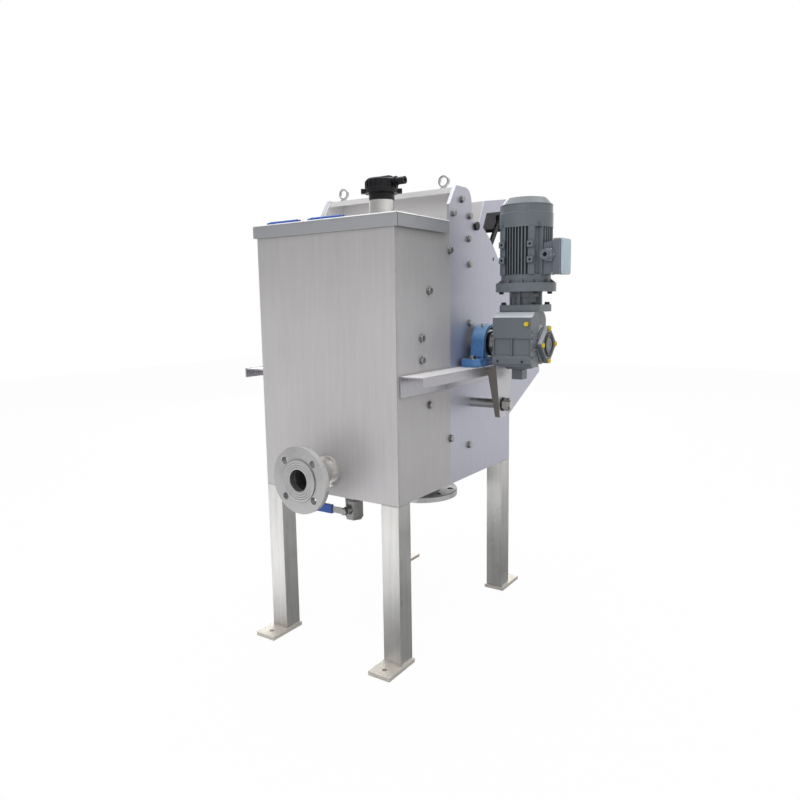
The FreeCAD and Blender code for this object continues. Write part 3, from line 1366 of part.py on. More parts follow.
for turn in range(4):
    angle = math.radians(90 * turn)
    arm = Vector(0, math.cos(angle), math.sin(angle)) * val("dim.output_bolt_radius")
    caps.append(Part.makeCylinder(val("dim.output_cap_radius"), val("dim.output_cap_height"),
                                  cap_base + arm, Vector(1, 0, 0)))
keep("output_cover_caps", feature("output_cover_caps", Part.makeCompound(caps)))
keep("gearbox_plug", six_sided(
    "gearbox_plug", "y", ("dim.case_front - dim.plug_height", "dim.case_front"),
    ("dim.case_outer_x - dim.plug_inset", "dim.case_top - dim.plug_drop"), "dim.plug_radius"))

# Motor, upright on the gearbox: adapter, flange, finned case with foot pads, fan under its cowl, rotor
adapter_base = "dim.case_top"
adapter_top = f"{adapter_base} + dim.adapter_plate"
flange_base = f"{adapter_top} + dim.adapter_neck"
flange_top = f"{flange_base} + dim.motor_flange_thickness"
bell_top = f"{flange_top} + dim.bell_height"
fins_top = f"{bell_top} + dim.fin_height"
cowl_shoulder = f"{fins_top} + dim.cowl_height"
cowl_top = f"{cowl_shoulder} + dim.cowl_crown"
fan_base = f"{fins_top} + dim.fan_lift"
axis_x, axis_y = val("dim.motor_x"), axis_point.y
motor_foot = Vector(axis_x, axis_y, val(adapter_base))
rotor_room = Part.makeCylinder(val("dim.rotor_radius + dim.rest_gap"), val(fan_base) - motor_foot.z,
                               motor_foot)


def upright_box(width, depth, height, middle):
    """Box that stands centred on a point of its underside."""
    return Part.makeBox(width, depth, height, middle - Vector(width / 2, depth / 2, 0))


def motor_adapter_shape():
    """Square seat, narrow neck with four ribs and a collar under the motor's flange."""
    half = val("dim.adapter_size / 2")
    seat = rounded_block((axis_x - half, axis_x + half), (axis_y - half, axis_y + half),
                         (adapter_base, adapter_top), "z", "dim.adapter_round")
    neck_height = val("dim.adapter_neck")
    neck_foot = Vector(axis_x, axis_y, val(adapter_top))
    neck = Part.makeCylinder(val("dim.neck_radius"), neck_height, neck_foot)
    collar_height = val("dim.neck_collar")
    collar = Part.makeCylinder(val("dim.neck_collar_radius"), collar_height,
                               neck_foot + Vector(0, 0, neck_height - collar_height))
    reach, rib = val("2 * dim.neck_rib_reach"), val("dim.neck_rib")
    cross_rib = upright_box(reach, rib, neck_height, neck_foot)
    long_rib = upright_box(rib, reach, neck_height, neck_foot)
    return seat.fuse([neck, collar, cross_rib, long_rib]).cut(rotor_room).removeSplitter()


keep("motor_adapter", feature("motor_adapter", motor_adapter_shape()))


def motor_case_shape():
    """Flange and bell, then a core with fins that stand square to each side, corner posts and foot pads."""
    bell_base, fins_low = val(flange_top), val(bell_top)
    core_radius, fin_radius = val("dim.motor_core_radius"), val("dim.motor_fin_radius")
    height = val("dim.fin_height")
    centre = Vector(axis_x, axis_y, bell_base)
    fin_centre = Vector(axis_x, axis_y, fins_low)
    core = Part.makeCylinder(core_radius, fins_low + height - bell_base, centre)
    bell = Part.makeCylinder(val("dim.bell_radius"), fins_low - bell_base, centre)
    flange_drop = val("dim.motor_flange_thickness")
    flange = Part.makeCylinder(val("dim.motor_flange_radius"), flange_drop,
                               centre - Vector(0, 0, flange_drop))
    envelope = Part.makeCylinder(fin_radius, height, fin_centre)
    thickness, pitch = val("dim.fin_thickness"), val("dim.fin_pitch")
    each_side = int(val("dim.fins_each_side"))
    fins = []
    for number in range(-each_side, each_side + 1):
        shift = number * pitch
        fins.append(upright_box(thickness, 2 * fin_radius, height, fin_centre + Vector(shift, 0, 0)))
        fins.append(upright_box(2 * fin_radius, thickness, height, fin_centre + Vector(0, shift, 0)))
    spread, post = val("dim.pad_spread"), val("dim.post_width")
    post_envelope = Part.makeCylinder(val("dim.post_reach"), height, fin_centre)
    posts = [
        upright_box(post, post, height, fin_centre + Vector(side * spread, end * (spread + post), 0))
        for side in (-1, 1) for end in (-1, 1)]
    pads = []
    holes = []
    size, depth, reach = val("dim.pad_size"), val("dim.pad_depth"), val("dim.pad_reach")
    for side in (-1, 1):
        for level in (0, 1):
            pad_z = bell_base + val("dim.pad_rise") + level * val("dim.pad_spacing")
            pad_face = Vector(axis_x + side * spread, axis_y - reach, pad_z)
            pads.append(Part.makeBox(size, depth, size, pad_face - Vector(size / 2, 0, size / 2)))
            holes.append(Part.makeCylinder(val("dim.pad_hole"), depth / 2, pad_face, Vector(0, 1, 0)))
    case = core.fuse([bell, flange] + [fin.common(envelope) for fin in fins]
                     + [corner.common(post_envelope) for corner in posts] + pads)
    return case.cut([rotor_room] + holes)


keep("motor_case", feature("motor_case", motor_case_shape()))
skirt_top = f"{fins_top} + dim.cowl_skirt"
cowl_upper = "dim.cowl_radius - dim.cowl_step"
cowl_inner = f"{cowl_upper} - dim.cowl_wall"
cowl_lip = "dim.motor_core_radius - dim.cowl_lip"
cowl = turned("motor_cowl", "z", motor_axis, [
    (fins_top, cowl_lip), (fins_top, "dim.cowl_radius"),
    (skirt_top, "dim.cowl_radius"), (skirt_top, cowl_upper),
    (cowl_shoulder, cowl_upper), (cowl_top, "dim.cowl_top_radius"),
    (cowl_top, "0"), (f"{cowl_top} - dim.cowl_wall", "0"),
    (f"{cowl_top} - dim.cowl_wall", "dim.cowl_top_radius - dim.cowl_wall"),
    (cowl_shoulder, cowl_inner), (f"{fins_top} + dim.cowl_wall", cowl_inner),
    (f"{fins_top} + dim.cowl_wall", cowl_lip)])
slots = []
slot_count = int(val("dim.grille_slots"))
slot_length = val("dim.grille_outer - dim.grille_inner")
slot_width = val("dim.grille_slot_width")
slot_base = Vector(axis_x, axis_y, val(f"{cowl_top} - 2 * dim.cowl_wall"))
for number in range(slot_count):
    slot = Part.makeBox(slot_length, slot_width, val("3 * dim.cowl_wall"),
                        slot_base + Vector(val("dim.grille_inner"), -slot_width / 2, 0))
    slot.rotate(slot_base, Vector(0, 0, 1), 360 * number / slot_count)
    slots.append(slot)
cowl.Shape = cowl.Shape.cut(slots)
keep("motor_cowl", cowl)
keep("motor_rotor", round_bar("motor_rotor", "z", (f"{adapter_base} + 1", f"{fan_base} + dim.fan_height"),
                              motor_axis, "dim.rotor_radius"))
fan_centre = Vector(axis_x, axis_y, val(fan_base))
fan_height, fan_sheet = val("dim.fan_height"), val("dim.fan_sheet")
fan_hub = Part.makeCylinder(val("dim.rotor_radius + dim.fan_hub"), fan_height, fan_centre)
fan_disc = Part.makeCylinder(val("dim.fan_radius"), fan_sheet, fan_centre)
blades = []
for number in range(int(val("dim.fan_blades"))):
    blade = Part.makeBox(val("dim.fan_radius - dim.rotor_radius"), fan_sheet, fan_height,
                         fan_centre + Vector(val("dim.rotor_radius"), -fan_sheet / 2, 0))
    blade.rotate(fan_centre, Vector(0, 0, 1), 360 * number / val("dim.fan_blades"))
    blades.append(blade)
fan_bore = Part.makeCylinder(val("dim.rotor_radius"), fan_height, fan_centre)
keep("motor_fan", feature("motor_fan", fan_hub.fuse([fan_disc] + blades).cut(fan_bore)))

# Terminal box beside the motor, on a neck that widens downward
lid_inner = "dim.terminal_outer_x - dim.terminal_lid"
body_inner = f"{lid_inner} - dim.terminal_body"
terminal_base = f"{flange_top} + dim.terminal_rise"
terminal_top = f"{terminal_base} + dim.terminal_height"
box_y = ("dim.terminal_front", "dim.terminal_rear")
box_z = (terminal_base, terminal_top)
keep("terminal_lid", feature("terminal_lid", rounded_block(
    (lid_inner, "dim.terminal_outer_x"), box_y, box_z, "x", "dim.terminal_round")))
neck_half = "dim.terminal_neck / 2"
neck_start = "dim.motor_x + dim.motor_fin_radius / 2"
neck_span = (f"dim.shaft_y - {neck_half}", f"dim.shaft_y + {neck_half}")
terminal_neck = extruded("terminal_neck", "y", neck_span, [
    (neck_start, f"{terminal_base} - dim.terminal_neck_drop / 2"),
    (body_inner, f"{terminal_base} + dim.terminal_round"),
    (body_inner, f"{terminal_top} - dim.terminal_round"),
    (neck_start, f"{terminal_top} - dim.terminal_neck_drop")])
core_cut = round_bar("terminal_core", "z", (flange_top, cowl_top),
                     motor_axis, "dim.motor_fin_radius + dim.running_gap")
terminal_tray = feature("terminal_tray", rounded_block(
    (body_inner, lid_inner), box_y, box_z, "x", "dim.terminal_round"))
terminal_shell = cut("terminal_shell", fuse("terminal_box_solid", terminal_tray, terminal_neck), core_cut)
gland_span = ("dim.terminal_front - dim.terminal_gland_length", f"dim.shaft_y - {neck_half}")
terminal_gland = pipe("terminal_gland", "y", gland_span,
                      (f"{lid_inner} - dim.terminal_gland_inset",
                       f"{terminal_base} + dim.terminal_gland_rise"),
                      "dim.terminal_gland_radius", "dim.cable_radius")
keep("terminal_box", fuse("terminal_box", terminal_shell, terminal_gland))

# Torque arm on the gearbox's inner face, folded along its front edge, down to a rod on the tank wall
arm_low, arm_high = "dim.case_inner_x - dim.arm_thickness", "dim.case_inner_x"
arm_top_front, arm_top_rear = "dim.case_front + dim.arm_inset", "dim.case_rear - dim.arm_inset"
arm_plate = extruded("torque_arm_plate", "x", (arm_low, arm_high), [
    (arm_top_front, "dim.arm_top"), (arm_top_front, "dim.case_base"),
    ("dim.arm_tip_front", "dim.arm_tip"), ("dim.arm_tip_rear", "dim.arm_tip"),
    (arm_top_rear, "dim.case_base"), (arm_top_rear, "dim.arm_top")])
fold_start = Vector(val(arm_low), val(arm_top_front), val("dim.case_base"))
fold_way = Vector(fold_start.x, val("dim.arm_tip_front"), val("dim.arm_tip")) - fold_start
fold_top = fold_start + fold_way * (val("dim.arm_flange_drop") / val("dim.case_base - dim.arm_tip"))
fold_tip = fold_start + fold_way
fold_face = Part.Face(Part.makePolygon([
    fold_top, fold_top - Vector(val("dim.arm_flange_width"), 0, 0),
    fold_tip - Vector(val("dim.arm_flange_tip"), 0, 0), fold_tip, fold_top]))
fold_in = Vector(1, 0, 0).cross(fold_way).normalize() * val("dim.arm_flange")
arm_fold = feature("torque_arm_fold", fold_face.extrude(fold_in))
arm_span = (arm_low, arm_high)
keep("torque_arm", cut(
    "torque_arm",
    fuse("torque_arm_solid", arm_plate, arm_fold),
    round_bar("torque_arm_window", "x", arm_span, shaft, "dim.arm_window"),
    round_bar("torque_arm_eye", "x", arm_span, ("dim.rod_y", "dim.rod_z"), "dim.torque_bush_radius"),
))
bush_end = f"{arm_high} + dim.torque_bush_flange"
rod_end = f"{bush_end} + dim.torque_nut_height + dim.torque_rod_end"
rod_axis = ("dim.rod_y", "dim.rod_z")
torque_bar = round_bar("torque_bar", "x", (half_width, rod_end), rod_axis, "dim.torque_rod_radius")
torque_nut = six_sided("torque_nut", "x", (bush_end, f"{bush_end} + dim.torque_nut_height"), rod_axis,
                       "dim.torque_nut_radius")
keep("torque_rod", fuse("torque_rod", torque_bar, torque_nut))
keep("torque_bush", cut(
    "torque_bush",
    fuse("torque_bush_solid",
         round_bar("torque_bush_barrel", "x", (arm_low, arm_high), rod_axis, "dim.torque_bush_radius"),
         round_bar("torque_bush_rim", "x", (arm_high, bush_end), rod_axis,
                   "dim.torque_bush_radius + dim.torque_bush_rim")),
    round_bar("torque_bush_bore", "x", (arm_low, bush_end), rod_axis, "dim.torque_rod_radius")))


# Bolt heads with their washers, all in one group
def bolt(seat, way, scale=1):
    """Bolt whose washer lies at seat, with its head pointing along way."""
    washer_height = val("dim.washer_thickness") * scale
    washer = Part.makeCylinder(val("dim.washer_radius") * scale, washer_height, seat, way)
    head_start = seat + way * washer_height
    corner = val("dim.bolt_head_radius") * scale
    side_way = way.cross(Vector(0, 0, 1) if abs(way.z) < 0.5 else Vector(1, 0, 0))
    points = []
    for turn in range(7):
        points.append(head_start + FreeCAD.Rotation(way, 60 * turn).multVec(side_way) * corner)
    head_shape = Part.Face(Part.makePolygon(points)).extrude(way * val("dim.bolt_head_height") * scale)
    return washer.fuse(head_shape).removeSplitter()


ring_angles = [val("dim.ring_angle_1"), val("dim.ring_angle_2"),
               val("dim.ring_angle_3"), val("dim.ring_angle_4")]
plate_bolts = [
    ("-dim.plate_front + dim.crest_bolt_inset", "dim.crest_top - dim.crest_bolt_drop"),
    ("dim.crest_bolt_rear", "dim.crest_top - dim.crest_bolt_drop"),
    ("dim.crest_bolt_middle", "dim.crest_top - dim.crest_bolt_top"),
    ("dim.wall_bolt_y", "dim.wall_bolt_high"),
    ("dim.wall_bolt_y", "dim.wall_bolt_low"),
]
bolts = []
for side in sides.values():
    wall = side * val(half_width)
    outward = Vector(side, 0, 0)
    for angle in ring_angles + [360 - angle for angle in ring_angles]:
        arm = Vector(0, math.cos(math.radians(angle)), math.sin(math.radians(angle))) * clamp_mid
        bolts.append(bolt(Vector(wall, axis_point.y, axis_point.z) + arm, outward))
    for bolt_y, bolt_z in plate_bolts:
        bolts.append(bolt(Vector(wall, val(bolt_y), val(bolt_z)), outward))
upward = Vector(0, 0, 1)
bolt_shift = val("dim.housing_bolt_spacing / 2")
foot_top = val("dim.shelf_top + dim.housing_foot_height")
seat_bolt = val("dim.adapter_size / 2 - dim.adapter_bolt_inset")
flange_bolt = val("dim.motor_flange_bolts") * math.sqrt(0.5)
for end in (-1, 1):
    for side in sides.values():
        bolts.append(bolt(Vector(side * val("dim.housing_x"), axis_point.y + end * bolt_shift, foot_top),
                          upward))
        bolts.append(bolt(Vector(axis_x + side * seat_bolt, axis_y + end * seat_bolt, val(adapter_top)),
                          upward, 0.8))
        bolts.append(bolt(Vector(axis_x + side * flange_bolt, axis_y + end * flange_bolt, val(flange_base)),
                          -upward, 0.7))
keep("bolts", feature("bolts", Part.makeCompound(bolts)))

doc.recompute()

for item in doc.Objects:
    if "Invalid" in item.State or "Error" in item.State:
        raise RuntimeError(f"{item.Label} did not build: {item.State}")
labels = [item.Label for item in pieces]
if len(set(labels)) != len(labels):
    raise RuntimeError("two pieces share a name")
for item in pieces:
    if item.Shape.isNull() or not item.Shape.isValid():
        raise RuntimeError(f"{item.Label} has no valid shape")

os.makedirs("parts", exist_ok=True)
for item in pieces:
    item.Shape.exportStep(f"parts/{item.Label}.step")
print(len(pieces), "pieces")
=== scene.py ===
import bpy
import bmesh
import math
from mathutils import Matrix, Vector


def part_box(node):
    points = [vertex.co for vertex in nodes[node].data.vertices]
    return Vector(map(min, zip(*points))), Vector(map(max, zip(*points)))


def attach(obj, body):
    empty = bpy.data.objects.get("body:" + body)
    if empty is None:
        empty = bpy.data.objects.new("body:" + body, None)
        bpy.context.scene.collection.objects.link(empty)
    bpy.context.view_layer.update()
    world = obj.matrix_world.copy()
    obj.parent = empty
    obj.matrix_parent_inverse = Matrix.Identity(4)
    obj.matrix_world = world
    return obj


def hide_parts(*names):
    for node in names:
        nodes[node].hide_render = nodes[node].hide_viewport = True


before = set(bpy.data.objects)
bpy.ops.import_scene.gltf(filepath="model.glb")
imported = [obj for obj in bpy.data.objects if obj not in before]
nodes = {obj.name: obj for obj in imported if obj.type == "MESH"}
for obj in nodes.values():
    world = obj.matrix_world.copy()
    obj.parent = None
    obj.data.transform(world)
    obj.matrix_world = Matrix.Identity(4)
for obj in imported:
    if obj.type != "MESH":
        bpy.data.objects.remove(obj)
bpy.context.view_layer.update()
print("drum screen: frame loaded,", len(nodes), "parts")


cameraSetup = {
    "place": (1.08848, -1.57696, 0.88025),
    "yaw": 0.597,            # turned left of the +y axis
    "down": 0.139,
    "roll": -0.016,
    "lens": 30.64,
    "sensor": 36.0,
    "near": 0.02,
    "far": 200,
}


def addCamera(setup):
    yaw, down, roll = setup["yaw"], setup["down"], setup["roll"]
    ahead = Vector((-math.sin(yaw) * math.cos(down), math.cos(yaw) * math.cos(down), -math.sin(down)))
    right = Vector((math.cos(yaw), math.sin(yaw), 0))
    up = right.cross(ahead)
    rightRolled = math.cos(roll) * right + math.sin(roll) * up
    upRolled = -math.sin(roll) * right + math.cos(roll) * up
    data = bpy.data.cameras.new("photoCamera")
    data.lens = setup["lens"]
    data.sensor_width = setup["sensor"]
    data.clip_start = setup["near"]
    data.clip_end = setup["far"]
    camera = bpy.data.objects.new("photoCamera", data)
    bpy.context.scene.collection.objects.link(camera)
    turn = Matrix((rightRolled, upRolled, -ahead)).transposed().to_4x4()
    camera.matrix_world = Matrix.Translation(setup["place"]) @ turn
    bpy.context.scene.camera = camera


addCamera(cameraSetup)
print("camera placed")


# node helpers: an input is given a number, a colour or another node's output

nodeStep = {
    "across": 220,
    "down": 260,
}


def putNode(tree, kind, inputs=None, **settings):
    # stands to the right of what feeds it, below the nodes already there
    node = tree.nodes.new("ShaderNode" + kind)
    for name, value in settings.items():
        setattr(node, name, value)
    column = 0
    for name, value in (inputs or {}).items():
        if isinstance(value, bpy.types.NodeSocket):
            tree.links.new(value, node.inputs[name])
            column = max(column, value.node.location.x + nodeStep["across"])
        else:
            node.inputs[name].default_value = value
    row = sum(other.location.x == column for other in tree.nodes if other != node)
    node.location = (column, -row * nodeStep["down"])
    return node


def maths(tree, operation, *terms, clamp=False):
    return putNode(tree, "Math", dict(enumerate(terms)), operation=operation, use_clamp=clamp).outputs[0]


def vectors(tree, operation, *terms):
    node = putNode(tree, "VectorMath", dict(enumerate(terms)), operation=operation)
    return node.outputs["Value" if operation in ("DOT_PRODUCT", "LENGTH") else "Vector"]


def tinted(tree, color, factor):
    return putNode(tree, "VectorMath", {0: color, "Scale": factor}, operation="SCALE").outputs["Vector"]


def ranged(tree, value, fromLow, fromHigh, toLow=0.0, toHigh=1.0, smooth=False):
    inputs = {"Value": value, "From Min": fromLow, "From Max": fromHigh, "To Min": toLow, "To Max": toHigh}
    kind = "SMOOTHSTEP" if smooth else "LINEAR"
    return putNode(tree, "MapRange", inputs, interpolation_type=kind).outputs["Result"]


def noise(tree, vector, scale, detail, roughness=0.5):
    inputs = {"Vector": vector, "Scale": scale, "Detail": detail, "Roughness": roughness}
    return putNode(tree, "TexNoise", inputs).outputs["Fac"]


def mixed(tree, share, first, second):
    return putNode(tree, "Mix", {0: share, 6: first, 7: second}, data_type="RGBA").outputs[2]


def bumped(tree, strength, depth, height, normal):
    inputs = {"Strength": strength, "Distance": depth, "Height": height, "Normal": normal}
    return putNode(tree, "Bump", inputs).outputs[0]


def objectPlace(tree):
    return putNode(tree, "TexCoord").outputs["Object"]


def normalPart(tree, kind, axis):
    normal = putNode(tree, "NewGeometry").outputs[kind]
    return putNode(tree, "SeparateXYZ", {0: normal}).outputs[axis]


colorSocket, floatSocket, vectorSocket = "NodeSocketColor", "NodeSocketFloat", "NodeSocketVector"


def newGroup(name, takes, gives):
    # takes holds each input's start value, whose length tells its kind
    kinds = {1: floatSocket, 3: vectorSocket, 4: colorSocket}
    group = bpy.data.node_groups.new(name, "ShaderNodeTree")
    for label, value in takes.items():
        size = len(value) if isinstance(value, tuple) else 1
        group.interface.new_socket(label, in_out="INPUT", socket_type=kinds[size]).default_value = value
    for label, kind in gives.items():
        group.interface.new_socket(label, in_out="OUTPUT", socket_type=kind)
    start, end = group.nodes.new("NodeGroupInput"), group.nodes.new("NodeGroupOutput")
    end.location = (nodeStep["across"] * 8, 0)
    return group, start.outputs, end.inputs


def useGroup(tree, group, inputs):
    return putNode(tree, "Group", inputs, node_tree=group).outputs


# soft cloudiness, brushed streaks and grain of rolled or cast metal

def makeGrainGroup():
    group, takes, gives = newGroup("surfaceGrain", {
        "Color": (0.6, 0.6, 0.6, 1), "Dark": 0.9, "Roughness": 0.4, "Roughness spread": 0.08,
        "Cloud scale": 6.0, "Grain scale": 400.0, "Stretch": (1, 1, 1), "Streaks": 0.0, "Streak scale": 90.0,
    }, {"Color": colorSocket, "Roughness": floatSocket, "Height": floatSocket})
    coords = objectPlace(group)
    stretched = vectors(group, "MULTIPLY", coords, takes["Stretch"])
    cloud = noise(group, coords, takes["Cloud scale"], 4.0, 0.55)
    grain = noise(group, stretched, takes["Grain scale"], 3.0, 0.6)
    brushed = noise(group, stretched, takes["Streak scale"], 4.0, 0.7)
    clouds = ranged(group, cloud, 0.3, 0.7)
    shade = ranged(group, clouds, 0.0, 1.0, takes["Dark"], 1.0)
    uneven = maths(group, "SUBTRACT", brushed, 0.5)
    streaked = maths(group, "MULTIPLY_ADD", uneven, takes["Streaks"], shade)
    both = maths(group, "ADD", grain, clouds)
    spread = maths(group, "SUBTRACT", both, 1.0)
    rough = maths(group, "MULTIPLY_ADD", spread, takes["Roughness spread"], takes["Roughness"])
    group.links.new(tinted(group, takes["Color"], streaked), gives["Color"])
    group.links.new(rough, gives["Roughness"])
    group.links.new(grain, gives["Height"])
    return group


# rounded look along edges, with a mask for what the edge shows; the edge colour is a painted highlight on
# steel and plastic, and worn paint on the painted finishes

def makeEdgeGroup():
    group, takes, gives = newGroup("roundedEdge", {"Radius": 0.001, "Sharpness": 6.0},
                                   {"Normal": vectorSocket, "Edge": floatSocket})
    bevel = putNode(group, "Bevel", {"Radius": takes["Radius"]}, samples=4).outputs[0]
    flat = putNode(group, "NewGeometry").outputs["Normal"]
    alike = vectors(group, "DOT_PRODUCT", bevel, flat)
    away = maths(group, "SUBTRACT", 1.0, alike)
    mask = maths(group, "MULTIPLY", away, takes["Sharpness"], clamp=True)
    group.links.new(bevel, gives["Normal"])
    group.links.new(mask, gives["Edge"])
    return group


# pale dusting on faces turned up, broken by noise; in the shelf, grey paint and blue paint finishes it is a
# painted highlight of the light from above

def makeDustAndSheenGroup():
    group, takes, gives = newGroup("settledDustAndSheen", {
        "Color": (0.5, 0.5, 0.5, 1), "Dust and sheen color": (0.75, 0.74, 0.71, 1), "Amount": 0.2, "Scale": 30.0,
        "Patches": 1.0}, {"Color": colorSocket, "Dust and sheen": floatSocket})
    upward = ranged(group, normalPart(group, "Normal", "Z"), 0.2, 1.0)
    spots = noise(group, objectPlace(group), takes["Scale"], 5.0, 0.6)
    broken = ranged(group, spots, 0.35, 0.75)
    even = putNode(group, "Mix", {0: takes["Patches"], 2: 1.0, 3: broken}, data_type="FLOAT")
    cover = maths(group, "MULTIPLY", upward, even.outputs[0])
    amount = maths(group, "MULTIPLY", cover, takes["Amount"], clamp=True)
    group.links.new(mixed(group, amount, takes["Color"], takes["Dust and sheen color"]), gives["Color"])
    group.links.new(amount, gives["Dust and sheen"])
    return group


# painted shade: sheet metal darkened towards its top, standing in for the darker reflection it shows higher
# up

def makeHeightShadeGroup():
    group, takes, gives = newGroup("paintedHeightShade", {"Color": (0.6, 0.6, 0.6, 1), "Low": 0.8, "High": 1.1,
                                                 "Dark": 0.8}, {"Color": colorSocket})
    level = putNode(group, "SeparateXYZ", {0: objectPlace(group)}).outputs["Z"]
    shade = ranged(group, level, takes["Low"], takes["High"], 1.0, takes["Dark"], smooth=True)
    group.links.new(tinted(group, takes["Color"], shade), gives["Color"])
    return group


# painted shade: colour darkened in corners and round small parts, where other surfaces lie close

def makeCornerShadeGroup():
    group, takes, gives = newGroup("paintedCornerShade", {"Color": (0.6, 0.6, 0.6, 1), "Reach": 0.006, "Dark": 0.5},
                                   {"Color": colorSocket})
    nearby = putNode(group, "AmbientOcclusion", {"Distance": takes["Reach"]}, samples=4)
    shade = ranged(group, nearby.outputs["AO"], 0.35, 0.95, takes["Dark"], 1.0)
    group.links.new(tinted(group, takes["Color"], shade), gives["Color"])
    return group


# painted shade: the cut edges of a plate that lies across the drum's axis are darkened, standing in for the
# shadow they lie in

def makeCutEdgeShadeGroup():
    group, takes, gives = newGroup("paintedCutEdgeShade", {"Color": (0.6, 0.6, 0.6, 1), "Cut edge shade": (0.3, 0.3, 0.3, 1)},
                                   {"Color": colorSocket})
    sideways = maths(group, "ABSOLUTE", normalPart(group, "True Normal", "X"))
    flat = ranged(group, sideways, 0.3, 0.7)
    group.links.new(mixed(group, flat, takes["Cut edge shade"], takes["Color"]), gives["Color"])
    return group


# fine rings left by the lathe on a flange's face, round an axis along y

def makeTurnedGroup():
    group, takes, gives = newGroup("turnedRings", {"Centre": (0.0, 0.0, 0.0), "Pitch": 0.0022, "Reach": 0.05},
                                   {"Height": floatSocket})
    away = vectors(group, "SUBTRACT", objectPlace(group), takes["Centre"])
    flat = vectors(group, "MULTIPLY", away, (1, 0, 1))
    radius = vectors(group, "LENGTH", flat)
    turns = maths(group, "DIVIDE", radius, takes["Pitch"])
    wave = maths(group, "PINGPONG", turns, 0.5)
    inside = maths(group, "LESS_THAN", radius, takes["Reach"])
    group.links.new(maths(group, "MULTIPLY", wave, inside), gives["Height"])
    return group


grainGroup = makeGrainGroup()
edgeGroup = makeEdgeGroup()
dustAndSheenGroup = makeDustAndSheenGroup()
heightShadeGroup = makeHeightShadeGroup()
cornerShadeGroup = makeCornerShadeGroup()
cutEdgeShadeGroup = makeCutEdgeShadeGroup()
turnedGroup = makeTurnedGroup()

plainFinish = {
    "metallic": 0.0, "ior": 1.5, "coat": 0.0, "coatRoughness": 0.2,
    "dark": 0.92, "spread": 0.12, "clouds": 20.0, "grain": 700.0, "stretch": (1, 1, 1), "streaks": 0.0,
    "edge": 0.0012, "edgeSharpness": 5.0, "edgeAmount": 0.5, "bump": 0.05, "bumpDepth": 0.0004,
    "dustAndSheen": 0.1, "patches": 1.0, "dustAndSheenColor": (0.72, 0.71, 0.69), "dustAndSheenRoughness": 0.35, "ringDepth": 0.002,
}


def makeFinish(name, finish):
    # one finish: grain, rounded edges, and the wear, dusting, painted shade and painted highlights that its
    # settings name
    look = {**plainFinish, "edgeColor": finish["color"], **finish}
    material = bpy.data.materials.new(name)
    material.use_nodes = True
    tree = material.node_tree
    tree.nodes.clear()
    shader = putNode(tree, "BsdfPrincipled", {
        "Metallic": look["metallic"], "IOR": look["ior"], "Coat Weight": look["coat"],
        "Coat Roughness": look["coatRoughness"]})
    putNode(tree, "OutputMaterial", {"Surface": shader.outputs[0]})
    grain = useGroup(tree, grainGroup, {
        "Color": look["color"] + (1,), "Dark": look["dark"], "Roughness": look["roughness"],
        "Roughness spread": look["spread"], "Cloud scale": look["clouds"], "Grain scale": look["grain"],
        "Stretch": look["stretch"], "Streaks": look["streaks"]})
    edge = useGroup(tree, edgeGroup, {"Radius": look["edge"], "Sharpness": look["edgeSharpness"]})
    # edge colour: painted highlight on steel and plastic, worn paint on the painted finishes
    edgeWearAndHighlight = maths(tree, "MULTIPLY", edge["Edge"], look["edgeAmount"], clamp=True)
    color = mixed(tree, edgeWearAndHighlight, grain["Color"], look["edgeColor"] + (1,))
    # painted shade: the colour darkens towards the top of the part
    if "heightShade" in look:
        low, high, dark = look["heightShade"]
        color = useGroup(tree, heightShadeGroup, {"Color": color, "Low": low, "High": high, "Dark": dark})["Color"]
    # painted shade on the plate's cut edges
    if "cutEdgeShadeColor" in look:
        color = useGroup(tree, cutEdgeShadeGroup, {"Color": color, "Cut edge shade": look["cutEdgeShadeColor"] + (1,)})["Color"]
    # painted shade in corners and round small parts
    if "corners" in look:
        reach, dark = look["corners"]
        color = useGroup(tree, cornerShadeGroup, {"Color": color, "Reach": reach, "Dark": dark})["Color"]
    # pale dusting on faces turned up, and a painted highlight there in some finishes
    dustAndSheen = useGroup(tree, dustAndSheenGroup, {"Color": color, "Dust and sheen color": look["dustAndSheenColor"] + (1,),
                                      "Amount": look["dustAndSheen"], "Patches": look["patches"]})
    tree.links.new(dustAndSheen["Color"], shader.inputs["Base Color"])
    rough = maths(tree, "MULTIPLY_ADD", dustAndSheen["Dust and sheen"], look["dustAndSheenRoughness"], grain["Roughness"], clamp=True)
    tree.links.new(rough, shader.inputs["Roughness"])
    if look["dustAndSheen"] > 0.5:
        bare = maths(tree, "MULTIPLY_ADD", dustAndSheen["Dust and sheen"], -look["metallic"], look["metallic"], clamp=True)
        tree.links.new(bare, shader.inputs["Metallic"])
    normal = bumped(tree, look["bump"], look["bumpDepth"], grain["Height"], edge["Normal"])
    if "rings" in look:
        pitch, reach = look["rings"]
        rings = useGroup(tree, turnedGroup, {"Centre": look["centre"], "Pitch": pitch, "Reach": reach})
        normal = bumped(tree, look["ringStrength"], look["ringDepth"], rings["Height"], normal)
    tree.links.new(normal, shader.inputs["Normal"])
    return material


def box(node):
    low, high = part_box(node)
    return Vector(low), Vector(high)


def middleOf(node):
    low, high = box(node)
    return (low + high) / 2


